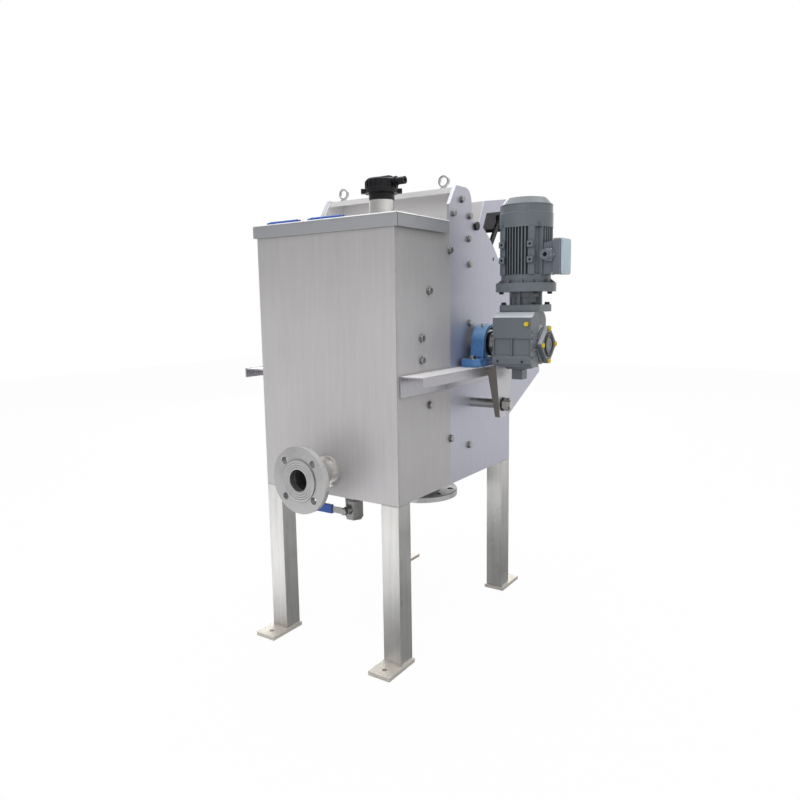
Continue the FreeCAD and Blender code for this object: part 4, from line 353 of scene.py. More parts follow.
finishes = {
    # sheet steel: painted shade towards its top and in corners, and a painted highlight along its bends from
    # the pale edge colour
    "sheetSteel": {
        "color": (0.575, 0.562, 0.572), "metallic": 0.42, "roughness": 0.5, "spread": 0.16, "clouds": 3.0,
        "stretch": (1, 1, 0.06), "streaks": 0.18, "edge": 0.0026, "edgeColor": (0.9, 0.9, 0.89),
        "edgeAmount": 0.8, "heightShade": (0.82, 1.1, 0.8), "corners": (0.01, 0.6)},
    "chuteSteel": {
        "color": (0.4, 0.395, 0.39), "metallic": 0.75, "roughness": 0.4, "dark": 0.85, "spread": 0.2,
        "clouds": 5.0, "stretch": (0.1, 1, 1), "edge": 0.002, "edgeColor": (0.8, 0.8, 0.8),
        "edgeAmount": 0.6, "corners": (0.02, 0.5)},
    "castSteel": {
        "color": (0.36, 0.355, 0.35), "metallic": 0.85, "roughness": 0.36, "dark": 0.75, "spread": 0.16,
        "clouds": 40.0, "grain": 600.0, "edge": 0.001, "edgeColor": (0.8, 0.8, 0.8), "edgeAmount": 0.6,
        "bump": 0.2, "corners": (0.006, 0.4)},
    # flange rims: pale steel as a painted highlight of the light they reflect
    "rimHighlightSteel": {
        "color": (0.8, 0.795, 0.79), "metallic": 0.7, "roughness": 0.32, "dark": 0.85, "spread": 0.16,
        "clouds": 30.0, "grain": 900.0, "edge": 0.0006},
    "footSteel": {
        "color": (0.74, 0.69, 0.62), "metallic": 0.35, "roughness": 0.55, "dark": 0.85, "spread": 0.16,
        "clouds": 14.0, "edge": 0.0022, "edgeColor": (0.95, 0.94, 0.92), "edgeAmount": 0.9, "bump": 0.06},
    # cross beam: steel painted much paler than the other sheet, lifting the shade of its recessed web
    "paintedLightBeamSteel": {
        "color": (0.86, 0.85, 0.85), "metallic": 0.3, "roughness": 0.46, "clouds": 5.0,
        "stretch": (0.08, 1, 1), "edge": 0.002, "edgeColor": (0.92, 0.92, 0.92), "edgeAmount": 0.8},
    "pipeSteel": {
        "color": (0.86, 0.84, 0.82), "metallic": 0.95, "roughness": 0.2, "dark": 0.75, "spread": 0.16,
        "clouds": 22.0, "grain": 800.0, "edgeColor": (0.95, 0.94, 0.92), "edgeAmount": 0.9, "bump": 0.06},
    "turnedSteel": {
        "color": (0.45, 0.45, 0.455), "metallic": 0.75, "roughness": 0.3, "dark": 0.85, "grain": 900.0,
        "edgeColor": (0.95, 0.95, 0.95), "edgeAmount": 0.9, "corners": (0.008, 0.45),
        "rings": (0.0056, 0.0515), "ringStrength": 1.0, "centre": middleOf("inlet_flange")},
    "glandGrey": {
        "color": (0.34, 0.38, 0.4), "metallic": 0.5, "roughness": 0.3, "coat": 0.4, "clouds": 40.0,
        "edge": 0.0008, "edgeColor": (0.7, 0.74, 0.76), "edgeAmount": 0.8, "bump": 0.08,
        "corners": (0.004, 0.4)},
    "seamDark": {
        "color": (0.12, 0.12, 0.125), "metallic": 0.6, "roughness": 0.5, "spread": 0.08, "clouds": 60.0,
        "grain": 900.0, "edge": 0.0004},
    "lidSteel": {
        "color": (0.42, 0.425, 0.445), "metallic": 0.6, "roughness": 0.46, "dark": 0.94, "spread": 0.1,
        "clouds": 3.0, "stretch": (0.12, 1, 1), "edge": 0.0024, "edgeColor": (0.85, 0.85, 0.85),
        "edgeAmount": 0.35, "bump": 0.04},
    # bends: near-white steel that paints the highlight along a bend
    "bendHighlightSteel": {
        "color": (0.95, 0.945, 0.94), "metallic": 0.55, "roughness": 0.3, "spread": 0.1, "edge": 0.0004,
        "bump": 0.03},
    # torque arm: its cut edges are painted dark, as the shade they lie in
    "armSteel": {
        "color": (0.72, 0.71, 0.73), "metallic": 0.6, "roughness": 0.44, "spread": 0.1, "clouds": 9.0,
        "stretch": (1, 1, 0.15), "edgeColor": (0.8, 0.8, 0.8), "edgeAmount": 0.3,
        "cutEdgeShadeColor": (0.2, 0.185, 0.17)},
    # shelves: the near-white sheen on their upward faces is a painted highlight of the light from above
    "shelfSteel": {
        "color": (0.5, 0.49, 0.52), "metallic": 0.85, "roughness": 0.27, "dark": 0.95, "spread": 0.1,
        "clouds": 4.0, "grain": 650.0, "stretch": (1, 0.2, 1), "edge": 0.0016,
        "edgeColor": (0.85, 0.85, 0.86), "dustAndSheen": 0.9, "patches": 0.12, "dustAndSheenColor": (1.0, 0.995, 0.99)},
    "plateSteel": {
        "color": (0.6, 0.605, 0.69), "metallic": 0.75, "roughness": 0.44, "dark": 0.93, "spread": 0.1,
        "clouds": 4.0, "grain": 650.0, "stretch": (1, 1, 0.2), "streaks": 0.15,
        "edgeColor": (0.8, 0.8, 0.82)},
    "brightSteel": {
        "color": (0.66, 0.655, 0.65), "metallic": 1.0, "roughness": 0.27, "dark": 0.88, "grain": 900.0,
        "edge": 0.0007, "edgeColor": (0.85, 0.85, 0.85)},
    # outlet flange: steel painted dark, standing in for the shade under the tank
    "shadedFlangeSteel": {
        "color": (0.2, 0.2, 0.2), "metallic": 0.6, "roughness": 0.5, "dark": 0.8, "grain": 900.0,
        "edge": 0.0009, "edgeColor": (0.82, 0.82, 0.82), "edgeAmount": 0.6, "bump": 0.06},
    "tubeSteel": {
        "color": (0.72, 0.715, 0.7), "metallic": 0.8, "roughness": 0.36, "dark": 0.86, "spread": 0.2,
        "clouds": 8.0, "grain": 600.0, "stretch": (1, 1, 0.05), "streaks": 0.45, "edge": 0.003,
        "edgeColor": (0.9, 0.9, 0.9), "edgeAmount": 0.7, "corners": (0.012, 0.6)},
    # bolts: strong painted shade round their heads from the corner darkening
    "boltSteel": {
        "color": (0.5, 0.49, 0.48), "metallic": 1.0, "roughness": 0.24, "dark": 0.7, "spread": 0.14,
        "clouds": 60.0, "grain": 1500.0, "edge": 0.0005, "edgeColor": (0.95, 0.95, 0.95), "edgeAmount": 0.8,
        "corners": (0.004, 0.12)},
    "darkBolt": {
        "color": (0.03, 0.032, 0.035), "metallic": 0.6, "roughness": 0.42, "dark": 0.8, "clouds": 60.0,
        "grain": 1500.0, "edge": 0.0004, "edgeColor": (0.2, 0.2, 0.2), "bump": 0.08},
    "weldSteel": {
        "color": (0.6, 0.585, 0.56), "metallic": 0.9, "roughness": 0.36, "dark": 0.72, "spread": 0.14,
        "clouds": 120.0, "grain": 1800.0, "edge": 0.0003, "bump": 0.1},
    "shaftSteel": {
        "color": (0.6, 0.59, 0.57), "metallic": 1.0, "roughness": 0.22, "spread": 0.1, "grain": 1200.0,
        "stretch": (8, 1, 1), "edge": 0.0008, "bump": 0.06},
    "drumSteel": {
        "color": (0.5, 0.5, 0.5), "metallic": 1.0, "roughness": 0.35, "spread": 0.1, "clouds": 12.0,
        "grain": 900.0, "edge": 0.0005, "bump": 0.04},
    # bearing paint: the pale blue on upward faces is painted light from above, so the dome reads lit and the
    # foot darker
    "bluePaint": {
        "color": (0.055, 0.2, 0.47), "metallic": 0.3, "roughness": 0.3, "coat": 1.0, "coatRoughness": 0.16,
        "spread": 0.15, "clouds": 18.0, "grain": 350.0, "edge": 0.0014, "edgeColor": (0.25, 0.45, 0.72),
        "bump": 0.22, "bumpDepth": 0.0006, "corners": (0.01, 0.4), "dustAndSheen": 0.6, "patches": 0.3,
        "dustAndSheenColor": (0.4, 0.66, 0.9)},
    # gearbox paint: the pale sheen on upward faces and chamfers is a painted highlight, standing in for the
    # studio's reflection
    "greyPaint": {
        "color": (0.13, 0.15, 0.17), "roughness": 0.4, "coat": 0.4, "spread": 0.14, "clouds": 14.0,
        "grain": 320.0, "edge": 0.0016, "edgeColor": (0.28, 0.31, 0.33), "edgeAmount": 0.45, "bump": 0.25,
        "bumpDepth": 0.0006, "corners": (0.008, 0.5), "dustAndSheen": 0.95, "patches": 0.12,
        "dustAndSheenColor": (0.84, 0.87, 0.92)},
    "motorPaint": {
        "color": (0.135, 0.16, 0.18), "roughness": 0.42, "coat": 0.3, "clouds": 12.0, "grain": 380.0,
        "edgeColor": (0.3, 0.34, 0.36), "edgeAmount": 0.4, "bump": 0.15, "bumpDepth": 0.0005,
        "corners": (0.008, 0.5)},
    "palePaint": {
        "color": (0.52, 0.64, 0.72), "roughness": 0.45, "spread": 0.1, "clouds": 12.0, "grain": 400.0,
        "edgeColor": (0.6, 0.68, 0.72), "bump": 0.15},
    "blackPlastic": {
        "color": (0.007, 0.007, 0.009), "roughness": 0.3, "ior": 1.35, "coat": 0.15, "coatRoughness": 0.12,
        "clouds": 25.0, "grain": 900.0, "edge": 0.0009, "edgeColor": (0.08, 0.08, 0.085), "bump": 0.12},
    "blueSleeve": {
        "color": (0.02, 0.09, 0.42), "roughness": 0.38, "spread": 0.1, "clouds": 25.0, "edge": 0.001,
        "edgeColor": (0.12, 0.25, 0.6), "bump": 0.15},
    "yellowPlastic": {
        "color": (0.75, 0.55, 0.02), "roughness": 0.4, "spread": 0.08, "clouds": 25.0, "edge": 0.0008,
        "bump": 0.1},
    "whitePlastic": {
        "color": (0.8, 0.8, 0.78), "roughness": 0.4, "spread": 0.08, "clouds": 25.0, "edge": 0.0008,
        "bump": 0.1},
    "rubber": {
        "color": (0.022, 0.022, 0.022), "roughness": 0.68, "clouds": 30.0, "grain": 600.0, "edge": 0.0006,
        "bump": 0.3, "dustAndSheen": 0.25, "dustAndSheenColor": (0.16, 0.155, 0.15)},
    "brass": {
        "color": (0.55, 0.4, 0.16), "metallic": 1.0, "roughness": 0.32, "clouds": 25.0, "edge": 0.0006,
        "bump": 0.08},
}
made = {name: makeFinish(name, finish) for name, finish in finishes.items()}

wears = {
    "sheetSteel": ["front_panel", "headbox_sides", "tank_floor", "rear_panel", "baffle", "hood_skin"],
    "chuteSteel": ["chute_floor"],
    "paintedLightBeamSteel": ["cross_beam"],
    "footSteel": ["foot_plates"],
    "turnedSteel": ["inlet_flange"],
    "pipeSteel": ["inlet_pipe"],
    "lidSteel": ["lid"],
    "armSteel": ["torque_arm"],
    "shadedFlangeSteel": ["outlet_flange"],
    "shelfSteel": ["shelves"],
    "plateSteel": ["side_plate_drive", "side_plate_idle", "hood_side_flanges"],
    "tubeSteel": ["legs", "outlet_pipe"],
    "brightSteel": ["lifting_eyes", "hinge_rod", "seal_clamps", "scraper_holder", "bolts"],
    "castSteel": ["drain_valve_body", "drain_lever", "drain_stem"],
    "shaftSteel": ["drum_shaft", "bearing_outer_rings", "bearing_inner_rings", "drain_ball", "output_sleeve",
                   "torque_rod", "motor_rotor"],
    "drumSteel": ["drum_wedge_wires", "drum_support_rods", "drum_spiders"],
    "bluePaint": ["bearing_housings"],
    "greyPaint": ["gearbox_case", "output_cover", "motor_adapter"],
    "motorPaint": ["motor_case", "motor_cowl", "terminal_box"],
    "palePaint": ["terminal_lid"],
    "blackPlastic": ["hinge_caps", "prop_stay", "sensor_head", "sensor_lock_ring", "motor_fan"],
    "blueSleeve": ["drain_lever_sleeve", "lid_handles"],
    "yellowPlastic": ["output_cover_caps", "gearbox_plug"],
    "whitePlastic": ["scraper_blade"],
    "rubber": ["baffle_seal", "hood_edge_seal", "drum_seals", "torque_bush"],
}
for finishName, names in wears.items():
    for name in names:
        for materialSlot in nodes[name].material_slots:
            materialSlot.material = made[finishName]
print("finishes on", sum(len(names) for names in wears.values()), "parts")


# mesh helpers for the dressed pieces

def dressedPiece(name, build, finish, body, smoothAngle=35):
    mesh = bpy.data.meshes.new(name)
    shape = bmesh.new()
    build(shape)
    bmesh.ops.recalc_face_normals(shape, faces=shape.faces)
    for face in shape.faces:
        face.smooth = True
    shape.to_mesh(mesh)
    shape.free()
    mesh.set_sharp_from_angle(angle=math.radians(smoothAngle))
    mesh.materials.append(made[finish])
    piece = bpy.data.objects.new(name, mesh)
    bpy.context.scene.collection.objects.link(piece)
    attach(piece, body)
    return piece


def facing(place, way):
    # matrix whose z axis points along way
    ahead = Vector(way).normalized()
    side = Vector((1, 0, 0)) if abs(ahead.z) > 0.9 else Vector((0, 0, 1))
    first = side.cross(ahead).normalized()
    second = ahead.cross(first)
    turn = Matrix((first, second, ahead)).transposed().to_4x4()
    return Matrix.Translation(place) @ turn


def turned(angle):
    return Matrix.Rotation(angle, 4, "Z")


def upright(middle):
    return Matrix.Translation((middle.x, middle.y, 0))


def joinRings(shape, rings, closed=True):
    for low, high in zip(rings, rings[1:]):
        count = len(low)
        for k in range(count if closed else count - 1):
            shape.faces.new((low[k], low[(k + 1) % count], high[(k + 1) % count], high[k]))


def addRing(shape, frameAt, points):
    return [shape.verts.new(frameAt @ Vector(point)) for point in points]


def addPrism(shape, near, far):
    joinRings(shape, [near, far])
    shape.faces.new(near)
    shape.faces.new(far)


def arcAngles(count, start=0.0, end=180.0):
    # angles in equal steps from start to end, in radians
    return [math.radians(start + (end - start) * k / (count - 1)) for k in range(count)]


def roundAngles(steps):
    # angles of a full turn in equal steps
    return [2 * math.pi * k / steps for k in range(steps)]


def spinRings(shape, frameAt, profile, steps=48, cap=False):
    # revolves (radius, height) pairs round the z axis of frameAt
    turns = roundAngles(steps)
    rings = [addRing(shape, frameAt, [(radius * math.cos(a), radius * math.sin(a), height) for a in turns])
             for radius, height in profile]
    joinRings(shape, rings)
    if cap:
        shape.faces.new(rings[-1])


screwForm = {
    "crown": 0.96,           # flat top over the distance across flats
    "chamfer": 30,
    # radius and height of a round head and its socket, as shares
    "cap": ((1, 0), (1, 0.85), (0.9, 1), (0.5, 1), (0.48, 0.4)),
}


def hexHead(shape, frameAt, across, height, steps=48):
    # hexagon with its corners turned down by a chamfer
    flat = across / 2
    crown = flat * screwForm["crown"]
    slope = math.tan(math.radians(screwForm["chamfer"]))
    low, edge, top = [], [], []
    for angle in roundAngles(steps):
        reach = flat / math.cos((angle % (math.pi / 3)) - math.pi / 6)
        x, y = math.cos(angle), math.sin(angle)
        drop = (reach - crown) * slope
        low.append((reach * x, reach * y, 0))
        edge.append((reach * x, reach * y, height - drop))
        top.append((crown * x, crown * y, height))
    rings = [addRing(shape, frameAt, points) for points in (low, edge, top)]
    joinRings(shape, rings)
    shape.faces.new(rings[-1])


def scaled(form, radius, height):
    return [(radius * across, height * up) for across, up in form]


def capScrew(shape, frameAt, radius, height):
    # round head with a socket
    spinRings(shape, frameAt, scaled(screwForm["cap"], radius, height), 24, cap=True)


beadForm = {
    "rise": 0.62,            # height over half width
    "ripple": 0.0016,        # from one ripple to the next
    "rippleShare": 0.10,
    "slowShare": 0.05,
    "slowTurn": 523,         # radians per metre
    "step": 0.0005,
}


def layBead(shape, points, ups, radius, closed=False, wavy=1.0):
    # bead along a path; ups point out of the corner it fills, and wavy 0 leaves the ripples out
    rings = []
    travelled = 0.0
    count = len(points)
    for k, (point, up) in enumerate(zip(points, ups)):
        ahead = points[(k + 1) % count] if closed or k < count - 1 else point
        behind = points[k - 1] if closed or k > 0 else point
        way = (ahead - behind).normalized()
        out = (up - way * up.dot(way)).normalized()
        across = way.cross(out)
        if k:
            travelled += (point - points[k - 1]).length
        ripple = beadForm["rippleShare"] * math.cos(2 * math.pi * travelled / beadForm["ripple"])
        swell = ripple + beadForm["slowShare"] * math.sin(travelled * beadForm["slowTurn"])
        rise = radius * beadForm["rise"] * (1 + wavy * swell)
        rings.append([shape.verts.new(point + across * (radius * math.cos(a)) + out * (rise * math.sin(a)))
                      for a in arcAngles(7)])
    if closed:
        rings.append(rings[0])
    joinRings(shape, rings, closed=False)


def beadLine(shape, start, end, up, radius):
    start, end, up = Vector(start), Vector(end), Vector(up)
    steps = max(8, int((end - start).length / beadForm["step"]))
    points = [start.lerp(end, k / steps) for k in range(steps + 1)]
    layBead(shape, points, [up] * (steps + 1), radius)


def beadRound(shape, frameAt, ringRadius, radius, lean=1.0):
    # bead round a pipe; lean tips it between the pipe's side and the plate
    steps = int(2 * math.pi * ringRadius / beadForm["step"])
    sides = [Vector((math.cos(a), math.sin(a), 0)) for a in roundAngles(steps)]
    ups = [frameAt.to_3x3() @ (side + Vector((0, 0, lean))).normalized() for side in sides]
    layBead(shape, [frameAt @ (side * ringRadius) for side in sides], ups, radius, closed=True)


def bendLine(shape, start, end, up, radius):
    layBead(shape, [Vector(start), Vector(end)], [Vector(up)] * 2, radius, wavy=0)


def looseParts(node):
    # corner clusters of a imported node, one per solid
    shape = bmesh.new()
    shape.from_mesh(nodes[node].data)
    bmesh.ops.remove_doubles(shape, verts=shape.verts, dist=1e-6)
    unseen = set(shape.verts)
    clusters = []
    while unseen:
        waiting = [unseen.pop()]
        cluster = []
        while waiting:
            vert = waiting.pop()
            cluster.append(vert.co.copy())
            for link in vert.link_edges:
                other = link.other_vert(vert)
                if other in unseen:
                    unseen.remove(other)
                    waiting.append(other)
        clusters.append(cluster)
    shape.free()
    return clusters


def reachOf(cluster):
    low = Vector([min(point[i] for point in cluster) for i in range(3)])
    high = Vector([max(point[i] for point in cluster) for i in range(3)])
    return low, high


def looseBoxes(node):
    return [reachOf(cluster) for cluster in looseParts(node)]


# bolts: hexagon heads on plain washers, set where the frame has them

bolting = {
    "washer": 0.0019,
    "washerAcross": 0.024,   # of the bolt that the washer's thickness is given for
    "washerForm": ((1, 0), (1, 0.75), (0.97, 1), (0.5, 1)),
    "headShare": 0.76,       # head across flats over washer's width
    "twist": (31, 17, 53),   # turns each head by where it sits, so that no two are alike
    "darkReach": 0.28,       # bolts further out than this are the drive's dark ones
}


def boltSeats():
    seats = []
    for cluster in looseParts("bolts"):
        low, high = reachOf(cluster)
        size = high - low
        axis = min(range(3), key=lambda i: size[i])
        middle = (low + high) / 2

        def spreadAt(level):
            return max((v - middle).length for v in cluster if abs(v[axis] - level) < 1e-5)

        way = Vector((0, 0, 0))
        way[axis] = 1 if spreadAt(low[axis]) > spreadAt(high[axis]) else -1
        seat = middle.copy()
        seat[axis] = low[axis] if way[axis] > 0 else high[axis]
        seats.append((seat, way, max(size), size[axis]))
    return seats


def buildBolts(shape, seats):
    for seat, way, width, height in seats:
        frameAt = facing(seat, way)
        washer = bolting["washer"] * width / bolting["washerAcross"]
        spinRings(shape, frameAt, scaled(bolting["washerForm"], width / 2, washer), 36)
        twist = turned(seat.dot(Vector(bolting["twist"])))
        headFoot = frameAt @ Matrix.Translation((0, 0, washer)) @ twist
        hexHead(shape, headFoot, width * bolting["headShare"], height - washer)


allSeats = boltSeats()
tankSeats = [seat for seat in allSeats if abs(seat[0].x) < bolting["darkReach"]]
driveSeats = [seat for seat in allSeats if abs(seat[0].x) >= bolting["darkReach"]]
tankBolts = dressedPiece("tankBolts", lambda shape: buildBolts(shape, tankSeats), "boltSteel", "frame",
                         smoothAngle=30)
dressedPiece("driveBolts", lambda shape: buildBolts(shape, driveSeats), "darkBolt", "frame", smoothAngle=30)
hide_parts("bolts")
print("bolts:", len(tankSeats), "bright and", len(driveSeats), "dark")


# wedge wire wound round the drum, point inward

drumScreen = {
    "pitch": 0.0036,
    "face": 0.0026,
    "depth": 0.0042,
    "point": 0.3,            # inner edge over the face
    "steps": 120,
}


def buildWedgeWire(shape):
    low, high = box("drum_wedge_wires")
    centre = (low + high) / 2
    outer = (high.z - low.z) / 2
    half = drumScreen["face"] / 2
    tip = half * drumScreen["point"]
    start, end = low.x + half, high.x - half
    total = int((end - start) / drumScreen["pitch"] * drumScreen["steps"])
    section = ((-half, 0), (half, 0), (tip, drumScreen["depth"]), (-tip, drumScreen["depth"]))
    rings = []
    for k in range(total + 1):
        angle = 2 * math.pi * k / drumScreen["steps"]
        c, s = math.cos(angle), math.sin(angle)
        frameAt = Matrix.Translation((start + (end - start) * k / total, centre.y, centre.z))
        rings.append(addRing(shape, frameAt, [(shift, (outer - drop) * c, (outer - drop) * s)
                                              for shift, drop in section]))
    joinRings(shape, rings)
    shape.faces.new(rings[0])
    shape.faces.new(rings[-1])


wedgeWire = dressedPiece("drumWedgeWire", buildWedgeWire, "drumSteel", "drum", 50)
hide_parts("drum_wedge_wires")
print("wedge wire wound")


# weld beads where the frame's plates and pipes meet, and the rounds of its bends in near-white steel, a
# painted highlight

welds = {
    "leg": 0.0022,
    "foot": 0.0024,
    "pipe": 0.0026,
    "shelf": 0.0018,
    "flush": 0.0015,
    "collar": 0.0017,
    "collarRadius": 0.0402,
    "pipeRadius": 0.0302,
    "cornerInset": 0.004,
    "shelfInset": 0.01,
    "sideReach": 0.01,       # a leg's side this far out from its middle lies in the tank's side
    "underLid": 0.03,        # where the panel's seams end below its top
    "bend": 0.0018,
    "bendInset": 0.0016,     # keeps the shelf's bend within the shelf's width
}
lidSeam = {
    "stub": 0.0465,          # from the lid's top up to the sensor's ring
    "inset": 0.003,
    "width": 0.0009,
    "gap": 0.0005,
}


def buildLegWelds(shape):
    for low, high in looseBoxes("legs"):
        middle = (low + high) / 2
        for level, radius, rise in ((low.z, welds["foot"], 1), (high.z, welds["leg"], -1)):
            corners = [Vector((x, y, level)) for x, y in
                       ((low.x, low.y), (high.x, low.y), (high.x, high.y), (low.x, high.y))]
            for here, there in zip(corners, corners[1:] + corners[:1]):
                side = (here + there) / 2
                outward = Vector((side.x - middle.x, side.y - middle.y, 0)).normalized()
                inset = (there - here).normalized() * welds["cornerInset"]
                out = welds["sideReach"]
                onTankSide = abs(side.x) > abs(middle.x) + out or abs(side.y) > abs(middle.y) + out
                if rise < 0 and onTankSide:
                    # ground flush with the tank's side
                    beadLine(shape, here + inset, there - inset, outward, welds["flush"])
                else:
                    beadLine(shape, here + inset, there - inset, outward + Vector((0, 0, rise)), radius)


def buildPipeWelds(shape):
    inlet, back = middleOf("inlet_flange"), box("inlet_flange")[1].y
    beadRound(shape, facing((inlet.x, back, inlet.z), (0, 1, 0)), welds["pipeRadius"], welds["pipe"])
    pipeLow, pipeHigh = box("outlet_pipe")
    outlet = (pipeLow + pipeHigh) / 2
    radius = (pipeHigh.x - pipeLow.x) / 2
    for level, rise in ((box("tank_floor")[0].z, -1), (box("outlet_flange")[1].z, 1)):
        beadRound(shape, facing((outlet.x, outlet.y, level), (0, 0, rise)), radius, welds["pipe"])


def buildShelfWelds(shape):
    for low, high in looseBoxes("shelves"):
        side, wall = (1, low.x) if low.x > 0 else (-1, high.x)
        front, back = low.y + welds["shelfInset"], high.y - welds["shelfInset"]
        beadLine(shape, (wall, front, high.z), (wall, back, high.z), (side, 0, 1), welds["shelf"])


def buildPanelSeams(shape):
    # upright seams where the front panel's bent ends meet the headbox sides
    low, high = box("front_panel")
    for x, side in ((low.x, -1), (high.x, 1)):
        beadLine(shape, (x, high.y, low.z + welds["cornerInset"]), (x, high.y, high.z - welds["underLid"]),
                 (side, 0, 0), welds["flush"])


def buildCollarWeld(shape):
    middle, front = middleOf("inlet_flange"), box("front_panel")[0].y
    beadRound(shape, facing((middle.x, front, middle.z), (0, -1, 0)), welds["collarRadius"], welds["collar"])


def buildLidBends(shape):
    # rounds of the bends along the lid's upper edges, in near-white steel: a painted highlight
    low, high = box("lid")
    top = high.z - lidSeam["stub"]
    bendLine(shape, (low.x, low.y, top), (high.x, low.y, top), (0, -1, 1), welds["bend"])
    for x, side in ((high.x, 1), (low.x, -1)):
        bendLine(shape, (x, low.y, top), (x, high.y, top), (side, 0, 1), welds["bend"])


# round of each shelf's outer bend, in near-white steel: a painted highlight
def buildShelfBends(shape):
    for low, high in looseBoxes("shelves"):
        side, edge = (1, high.x - welds["bendInset"]) if low.x > 0 else (-1, low.x + welds["bendInset"])
        bendLine(shape, (edge, low.y, high.z), (edge, high.y, high.z), (side, 0, 1), welds["bend"])


def buildLidSeams(shape):
    # open joint where the lid's front and side lips meet
    low, high = box("lid")
    top = box("sensor_lock_ring")[0].z - lidSeam["stub"]
    for x, side in ((low.x, -1), (high.x, 1)):
        beadLine(shape, (x, low.y + lidSeam["inset"], low.z + lidSeam["gap"]),
                 (x, low.y + lidSeam["inset"], top), (side, 0, 0), lidSeam["width"])


for name, build, finish, body in (
        ("lidSeams", buildLidSeams, "seamDark", "lid"),
        ("lidBends", buildLidBends, "bendHighlightSteel", "lid"),
        ("shelfBends", buildShelfBends, "bendHighlightSteel", "frame"),
        ("panelSeams", buildPanelSeams, "weldSteel", "frame"),
        ("collarWeld", buildCollarWeld, "weldSteel", "frame"),
        ("legWelds", buildLegWelds, "weldSteel", "frame"),
        ("pipeWelds", buildPipeWelds, "weldSteel", "frame"),
        ("shelfWelds", buildShelfWelds, "weldSteel", "frame")):
    dressedPiece(name, build, finish, body, smoothAngle=60)
print("weld beads laid")


# motor dress: cowl bead and seam, cowl screws, flange gussets

motorDress = {
    "bead": 0.0016,
    "draft": 0.0015,         # the cowl's upper part is this much smaller in radius
    "ledge": 0.036,          # where the cowl steps in, above its foot
    "shoulder": 0.056,       # where its crown starts
    # shift, width share, points and first angle of the bead at each of them
    "ledgeBead": (-0.0005, 1.2, 11, -80),
    "shoulderBead": (0.0002, 0.5, 10, -90),
    "lowerSink": 0.0006,     # of the seams into the cowl's lower part
    "upperSink": 0.0004,
    "step": 0.003,
    "seamWidth": 0.005,
    "seamRise": 0.0014,
    "seamTurns": (-62, 28, 118, 208),
    "screwTurns": (-128, -38, 52, 142),
    "screwHeight": 0.0075,
    "screwRadius": 0.0042,
    "screwRise": 0.0026,
    "screwSink": 0.0003,
    "bell": 0.0635,
    "bellTop": 0.022,        # above the motor case's foot
    "gussets": 12,
    "gussetHeight": 0.012,
    "gussetReach": 0.0105,
    "gussetWidth": 0.0035,
    "gussetRoot": 0.002,     # into the bell
    "gussetLip": 0.0015,
}


def buildCowlDress(shape):
    low, high = box("motor_cowl")
    radius = (high.x - low.x) / 2
    upper = radius - motorDress["draft"]
    ledge, shoulder = low.z + motorDress["ledge"], low.z + motorDress["shoulder"]
    bead, half, rise = motorDress["bead"], motorDress["seamWidth"] / 2, motorDress["seamRise"]
    base = upright((low + high) / 2)
    for level, form in ((ledge, motorDress["ledgeBead"]), (shoulder, motorDress["shoulderBead"])):
        shift, wide, count, first = form
        spinRings(shape, base, [(upper + shift + bead * wide * math.cos(a), level + bead * math.sin(a))
                                for a in arcAngles(count, first, 90)], 96)
    under, over = radius - motorDress["lowerSink"], upper - motorDress["upperSink"]
    path = ((low.z, under), (ledge, under), (ledge + motorDress["step"], over), (shoulder, over))
    for turn in motorDress["seamTurns"]:
        frameAt = base @ turned(math.radians(turn))
        rings = [addRing(shape, frameAt, [(reach + rise * math.sin(a), half * math.cos(a), height)
                                          for a in arcAngles(7)]) for height, reach in path]
        joinRings(shape, rings, closed=False)
    for turn in motorDress["screwTurns"]:
        way = turned(math.radians(turn)) @ Vector((1, 0, 0))
        foot = base @ Vector((0, 0, low.z + motorDress["screwHeight"]))
        seat = foot + way * (radius - motorDress["screwSink"])
        capScrew(shape, facing(seat, way), motorDress["screwRadius"], motorDress["screwRise"])


def buildGussets(shape):
    low, high = box("motor_case")
    bell, top, half = motorDress["bell"], low.z + motorDress["bellTop"], motorDress["gussetWidth"] / 2
    inner, outer = bell - motorDress["gussetRoot"], bell + motorDress["gussetReach"]
    outline = [(inner, top), (outer, top), (outer, top + motorDress["gussetLip"]),
               (inner, top + motorDress["gussetHeight"])]
    for k in range(motorDress["gussets"]):
        frameAt = upright((low + high) / 2) @ turned(2 * math.pi * (k + 0.5) / motorDress["gussets"])
        addPrism(shape, *[addRing(shape, frameAt, [(r, y, z) for r, z in outline]) for y in (-half, half)])


dressedPiece("cowlDress", buildCowlDress, "motorPaint", "frame")
dressedPiece("flangeGussets", buildGussets, "motorPaint", "frame")
print("motor dressed")


# terminal box: a cast lid with a crowned face, its gland and the four lid screws

terminalDress = {
    "corner": 0.007,
    "leastCorner": 0.0012,
    "edge": 0.0028,
    "inset": 0.0062,
    "sink": 0.0012,
    # depth and inset of the joint's groove, then share of the sink and more inset of the crown
    "groove": ((0, 0), (0.0022, 0), (0.0024, 0.0006), (0.003, 0.0006), (0.0032, 0)),
    "crown": ((1, 0), (0.5, 0.0006), (0, 0.0022)),
    "screw": 0.0034,
    "screwRise": 0.0026,
    "screwSink": 0.0003,
    "screwInset": 0.0085,
    "glandInset": 0.027,
    "glandRise": 0.048,
    "glandLength": 0.025,
    "glandAcross": 0.030,
    "glandFoot": 0.0055,
    "glandRibs": 16,
    # radius and height of the gland's nut, from its foot over the crown and into the bore
    "glandProfile": ((0.0134, 0.005), (0.0142, 0.0062), (0.0142, 0.0138), (0.0138, 0.0192), (0.0122, 0.0232),
                     (0.0096, 0.0248), (0.0072, 0.0249), (0.0062, 0.0235), (0.0058, 0.0225), (0.0058, 0.008)),
    "ribOutline": ((0.0138, -0.0009), (0.0151, -0.0005), (0.0151, 0.0005), (0.0138, 0.0009)),
    "ribEnds": (0.0062, 0.0128),
}


